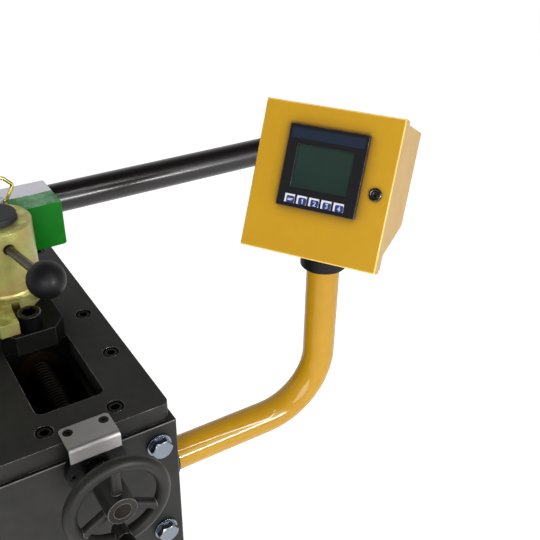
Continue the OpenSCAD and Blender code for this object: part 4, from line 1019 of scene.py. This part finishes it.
# %% Chamfers and cap bead
def islands(name):
    """Boxes of the separate solids of one node, as (lowest, highest) corners."""
    work = bmesh.new()
    work.from_mesh(nodes[name].data)
    bmesh.ops.remove_doubles(work, verts=work.verts, dist=SAME_PLACE)
    left, boxes = set(work.verts), []
    while left:
        group, waiting = [], [left.pop()]
        while waiting:
            vertex = waiting.pop()
            group.append(vertex.co.copy())
            for edge in vertex.link_edges:
                other = edge.other_vert(vertex)
                if other in left:
                    left.remove(other)
                    waiting.append(other)
        boxes.append(tuple(Vector((pick(co[k] for co in group) for k in range(3))) for pick in (min, max)))
    work.free()
    return boxes


COUNTERBORE_R = 10.5 * MM
plate_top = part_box("top_plate")[1].z
screw_middles = sorted(((low + high) / 2)[:2] for low, high in islands("plate_screws"))
fitting("counterbore_rims", [Vector((*spot, plate_top)) for spot in screw_middles], TO_TOP, COUNTERBORE_R,
        "top_plate", "ground_steel", rubbed_rim)
screw_top = Vector((*middle_of("stop_screw").xy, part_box("stop_screw")[1].z))
fitting("stop_screw_rim", [screw_top], TO_TOP, radius_of("stop_screw"), "stop_screw", "black_oxide",
        rubbed_rim)
cap_foot = Vector((*middle_of("hub_cap").xy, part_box("hub_cap")[0].z))
fitting("cap_bead", [cap_foot], TO_TOP, radius_of("hub_cap"), "hub_cap", "cap_plastic")
print("counterbores:", len(screw_middles))


# %% [markdown]
# The lock's core is a domed rim with a six-sided plug in it, on the panel's own outward axis. The
# collar's screw points level, to the side that the panel faces.

# %% Lock core and collar screw
(left, right), (bottom, _), (_, face) = on_panel("door_lock")
LOCK_R = (right - left) / 2
PLUG_R = 4.5 * MM
PLUG_SIDES = 6
lock_at = panel_point((left + right) / 2, bottom + LOCK_R, face)


def lock_core(work):
    """The rim and the plug in one piece."""
    turned(work, "lock_core", lock_at, OUTWARD, LOCK_R)
    turned(work, "lock plug", lock_at, OUTWARD, PLUG_R, PLUG_SIDES)


new_piece("lock_core", lock_core, body_of["door_lock"], slot_of["door_lock"], polished_oxide)
COLLAR_SCREW_R = 3 * MM
COLLAR_SCREW_SIDES = 24
COLLAR_SCREW_TURN = math.radians(215)
COLLAR_SCREW_DROP = 36 * MM
COLLAR_SCREW_SINK = 0.6 * MM
collar_out = Vector((math.cos(COLLAR_SCREW_TURN), math.sin(COLLAR_SCREW_TURN), 0))
collar_at = Vector((*middle_of("swivel_collar").xy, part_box("swivel_collar")[1].z - COLLAR_SCREW_DROP))
collar_at += collar_out * (radius_of("swivel_collar") - COLLAR_SCREW_SINK)
fitting("collar_screw", [collar_at], collar_out, COLLAR_SCREW_R, "swivel_collar", "black_oxide",
        polished_oxide, COLLAR_SCREW_SIDES)
print("lock at", lock_at, "collar screw at", collar_at)


# %% [markdown]
# ## The floor
# A catalogue photograph has soft light and a white ground. The floor is pale and matt, so it takes a
# soft shadow, and a little light of its own where it is looked at makes it read as white.

# %% Floor
FLOOR_HALF = 14.0
FLOOR_DROP = 0.5 * MM
FLOOR_TONES = (0.9, 0.93)
FLOOR_GLOW = 0.72


def floor_finish():
    """Pale floor that keeps shadows, with a little of its own light where it is looked at."""
    material, tree, shader = new_material("studio floor")
    tone = noise(tree, object_place(tree), 3.0, 3.0)
    path = tree.nodes.new("ShaderNodeLightPath")
    seen = maths(tree, "MAXIMUM", path.outputs["Is Camera Ray"], path.outputs["Is Glossy Ray"])
    seen = maths(tree, "MAXIMUM", seen, path.outputs["Is Transmission Ray"])
    fill(tree, shader, Base_Color=ranged(tree, tone, 0.0, 1.0, *FLOOR_TONES), Roughness=0.9,
         Specular_IOR_Level=0.1, Emission_Color=(1, 1, 1, 1),
         Emission_Strength=product(tree, seen, FLOOR_GLOW))
    return material


ground = bmesh.new()
ground.faces.new([ground.verts.new((x * FLOOR_HALF, y * FLOOR_HALF, -FLOOR_DROP))
                  for x, y in ((-1, -1), (1, -1), (1, 1), (-1, 1))])
mesh = bpy.data.meshes.new("floor")
ground.to_mesh(mesh)
ground.free()
mesh.materials.append(floor_finish())
floor = bpy.data.objects.new("floor", mesh)
bpy.context.collection.objects.link(floor)
print("floor:", 2 * FLOOR_HALF, "m wide")


# %% [markdown]
# ## The surroundings
# The camera sees plain white all round. The machine is lit by something less even: darker overhead
# and in front, as in a room with white walls on three sides. Two fades, one by height and one from
# front to rear, make that difference, and camera rays skip them.

# %% World
BACKDROP = 1.0
FRONT_SHARE = 0.3
CEILING_SHARE = 0.12
HEIGHT_FADE = (0.45, 0.9)
DEPTH_FADE = (0.0, 0.6)
world = bpy.data.worlds.new("studio")
world.use_nodes = True
bpy.context.scene.world = world
tree = world.node_tree
sky = add(tree, "ShaderNodeSeparateXYZ", Vector=tree.nodes.new("ShaderNodeTexCoord").outputs["Generated"])
height = ranged(tree, sky.outputs["Z"], *HEIGHT_FADE, BACKDROP, BACKDROP * CEILING_SHARE)
depth = ranged(tree, sky.outputs["Y"], *DEPTH_FADE, FRONT_SHARE, 1.0)
path = tree.nodes.new("ShaderNodeLightPath")
seen = maths(tree, "MAXIMUM", path.outputs["Is Camera Ray"], path.outputs["Is Transmission Ray"])
strength = maths(tree, "MAXIMUM", product(tree, height, depth), seen)
fill(tree, tree.nodes["Background"], Color=(1, 1, 1, 1), Strength=strength)
print("backdrop:", BACKDROP, "front:", FRONT_SHARE, "ceiling:", CEILING_SHARE)


# %% [markdown]
# ## The lamps
# What a streak on a round tube shows is the shape and place of a lamp. The thin white line on the
# arm comes from a tall narrow lamp in front on the right, and the glow on the dark tube from a low
# one beside it, so both give gloss only. A panel overhead gives matt light only, which lifts the
# upper faces without a glare on them. The key and a large panel in front do the rest.

# %% Lamps
def lamp(name, place, target, size, power, matt=True, gloss=True):
    """A rectangular soft lamp that looks at a point; it can leave out matt light or gloss."""
    light = bpy.data.lights.new(name, "AREA")
    light.shape = "RECTANGLE"
    light.size, light.size_y = size
    light.energy = power
    holder = bpy.data.objects.new(name, light)
    holder.location = place
    holder.rotation_euler = (Vector(target) - Vector(place)).to_track_quat("-Z", "Y").to_euler()
    holder.visible_diffuse = matt
    holder.visible_glossy = gloss
    bpy.context.collection.objects.link(holder)


MIDDLE = (0.2, -0.1, 1.0)
ARM_STREAK = (0.27, -0.3, 0.83)
TUBE_GLOW = (0.26, 0.06, 1.03)
lamp("tall strip", (1.44, -2.72, 2.9), ARM_STREAK, (0.08, 2.8), 28, matt=False)
lamp("low strip", (1.25, -2.9, 1.2), TUBE_GLOW, (0.8, 0.3), 58, matt=False)
lamp("top panel", (0.0, -0.8, 3.4), MIDDLE, (1.8, 1.8), 14, gloss=False)
lamp("key", (1.6, -3.0, 1.8), MIDDLE, (2.0, 1.4), 24)
lamp("front panel", (-1.2, -3.4, 1.6), MIDDLE, (2.4, 1.6), 86)
print("lamps:", len(bpy.data.lights))


# %% End
print("scene ready")
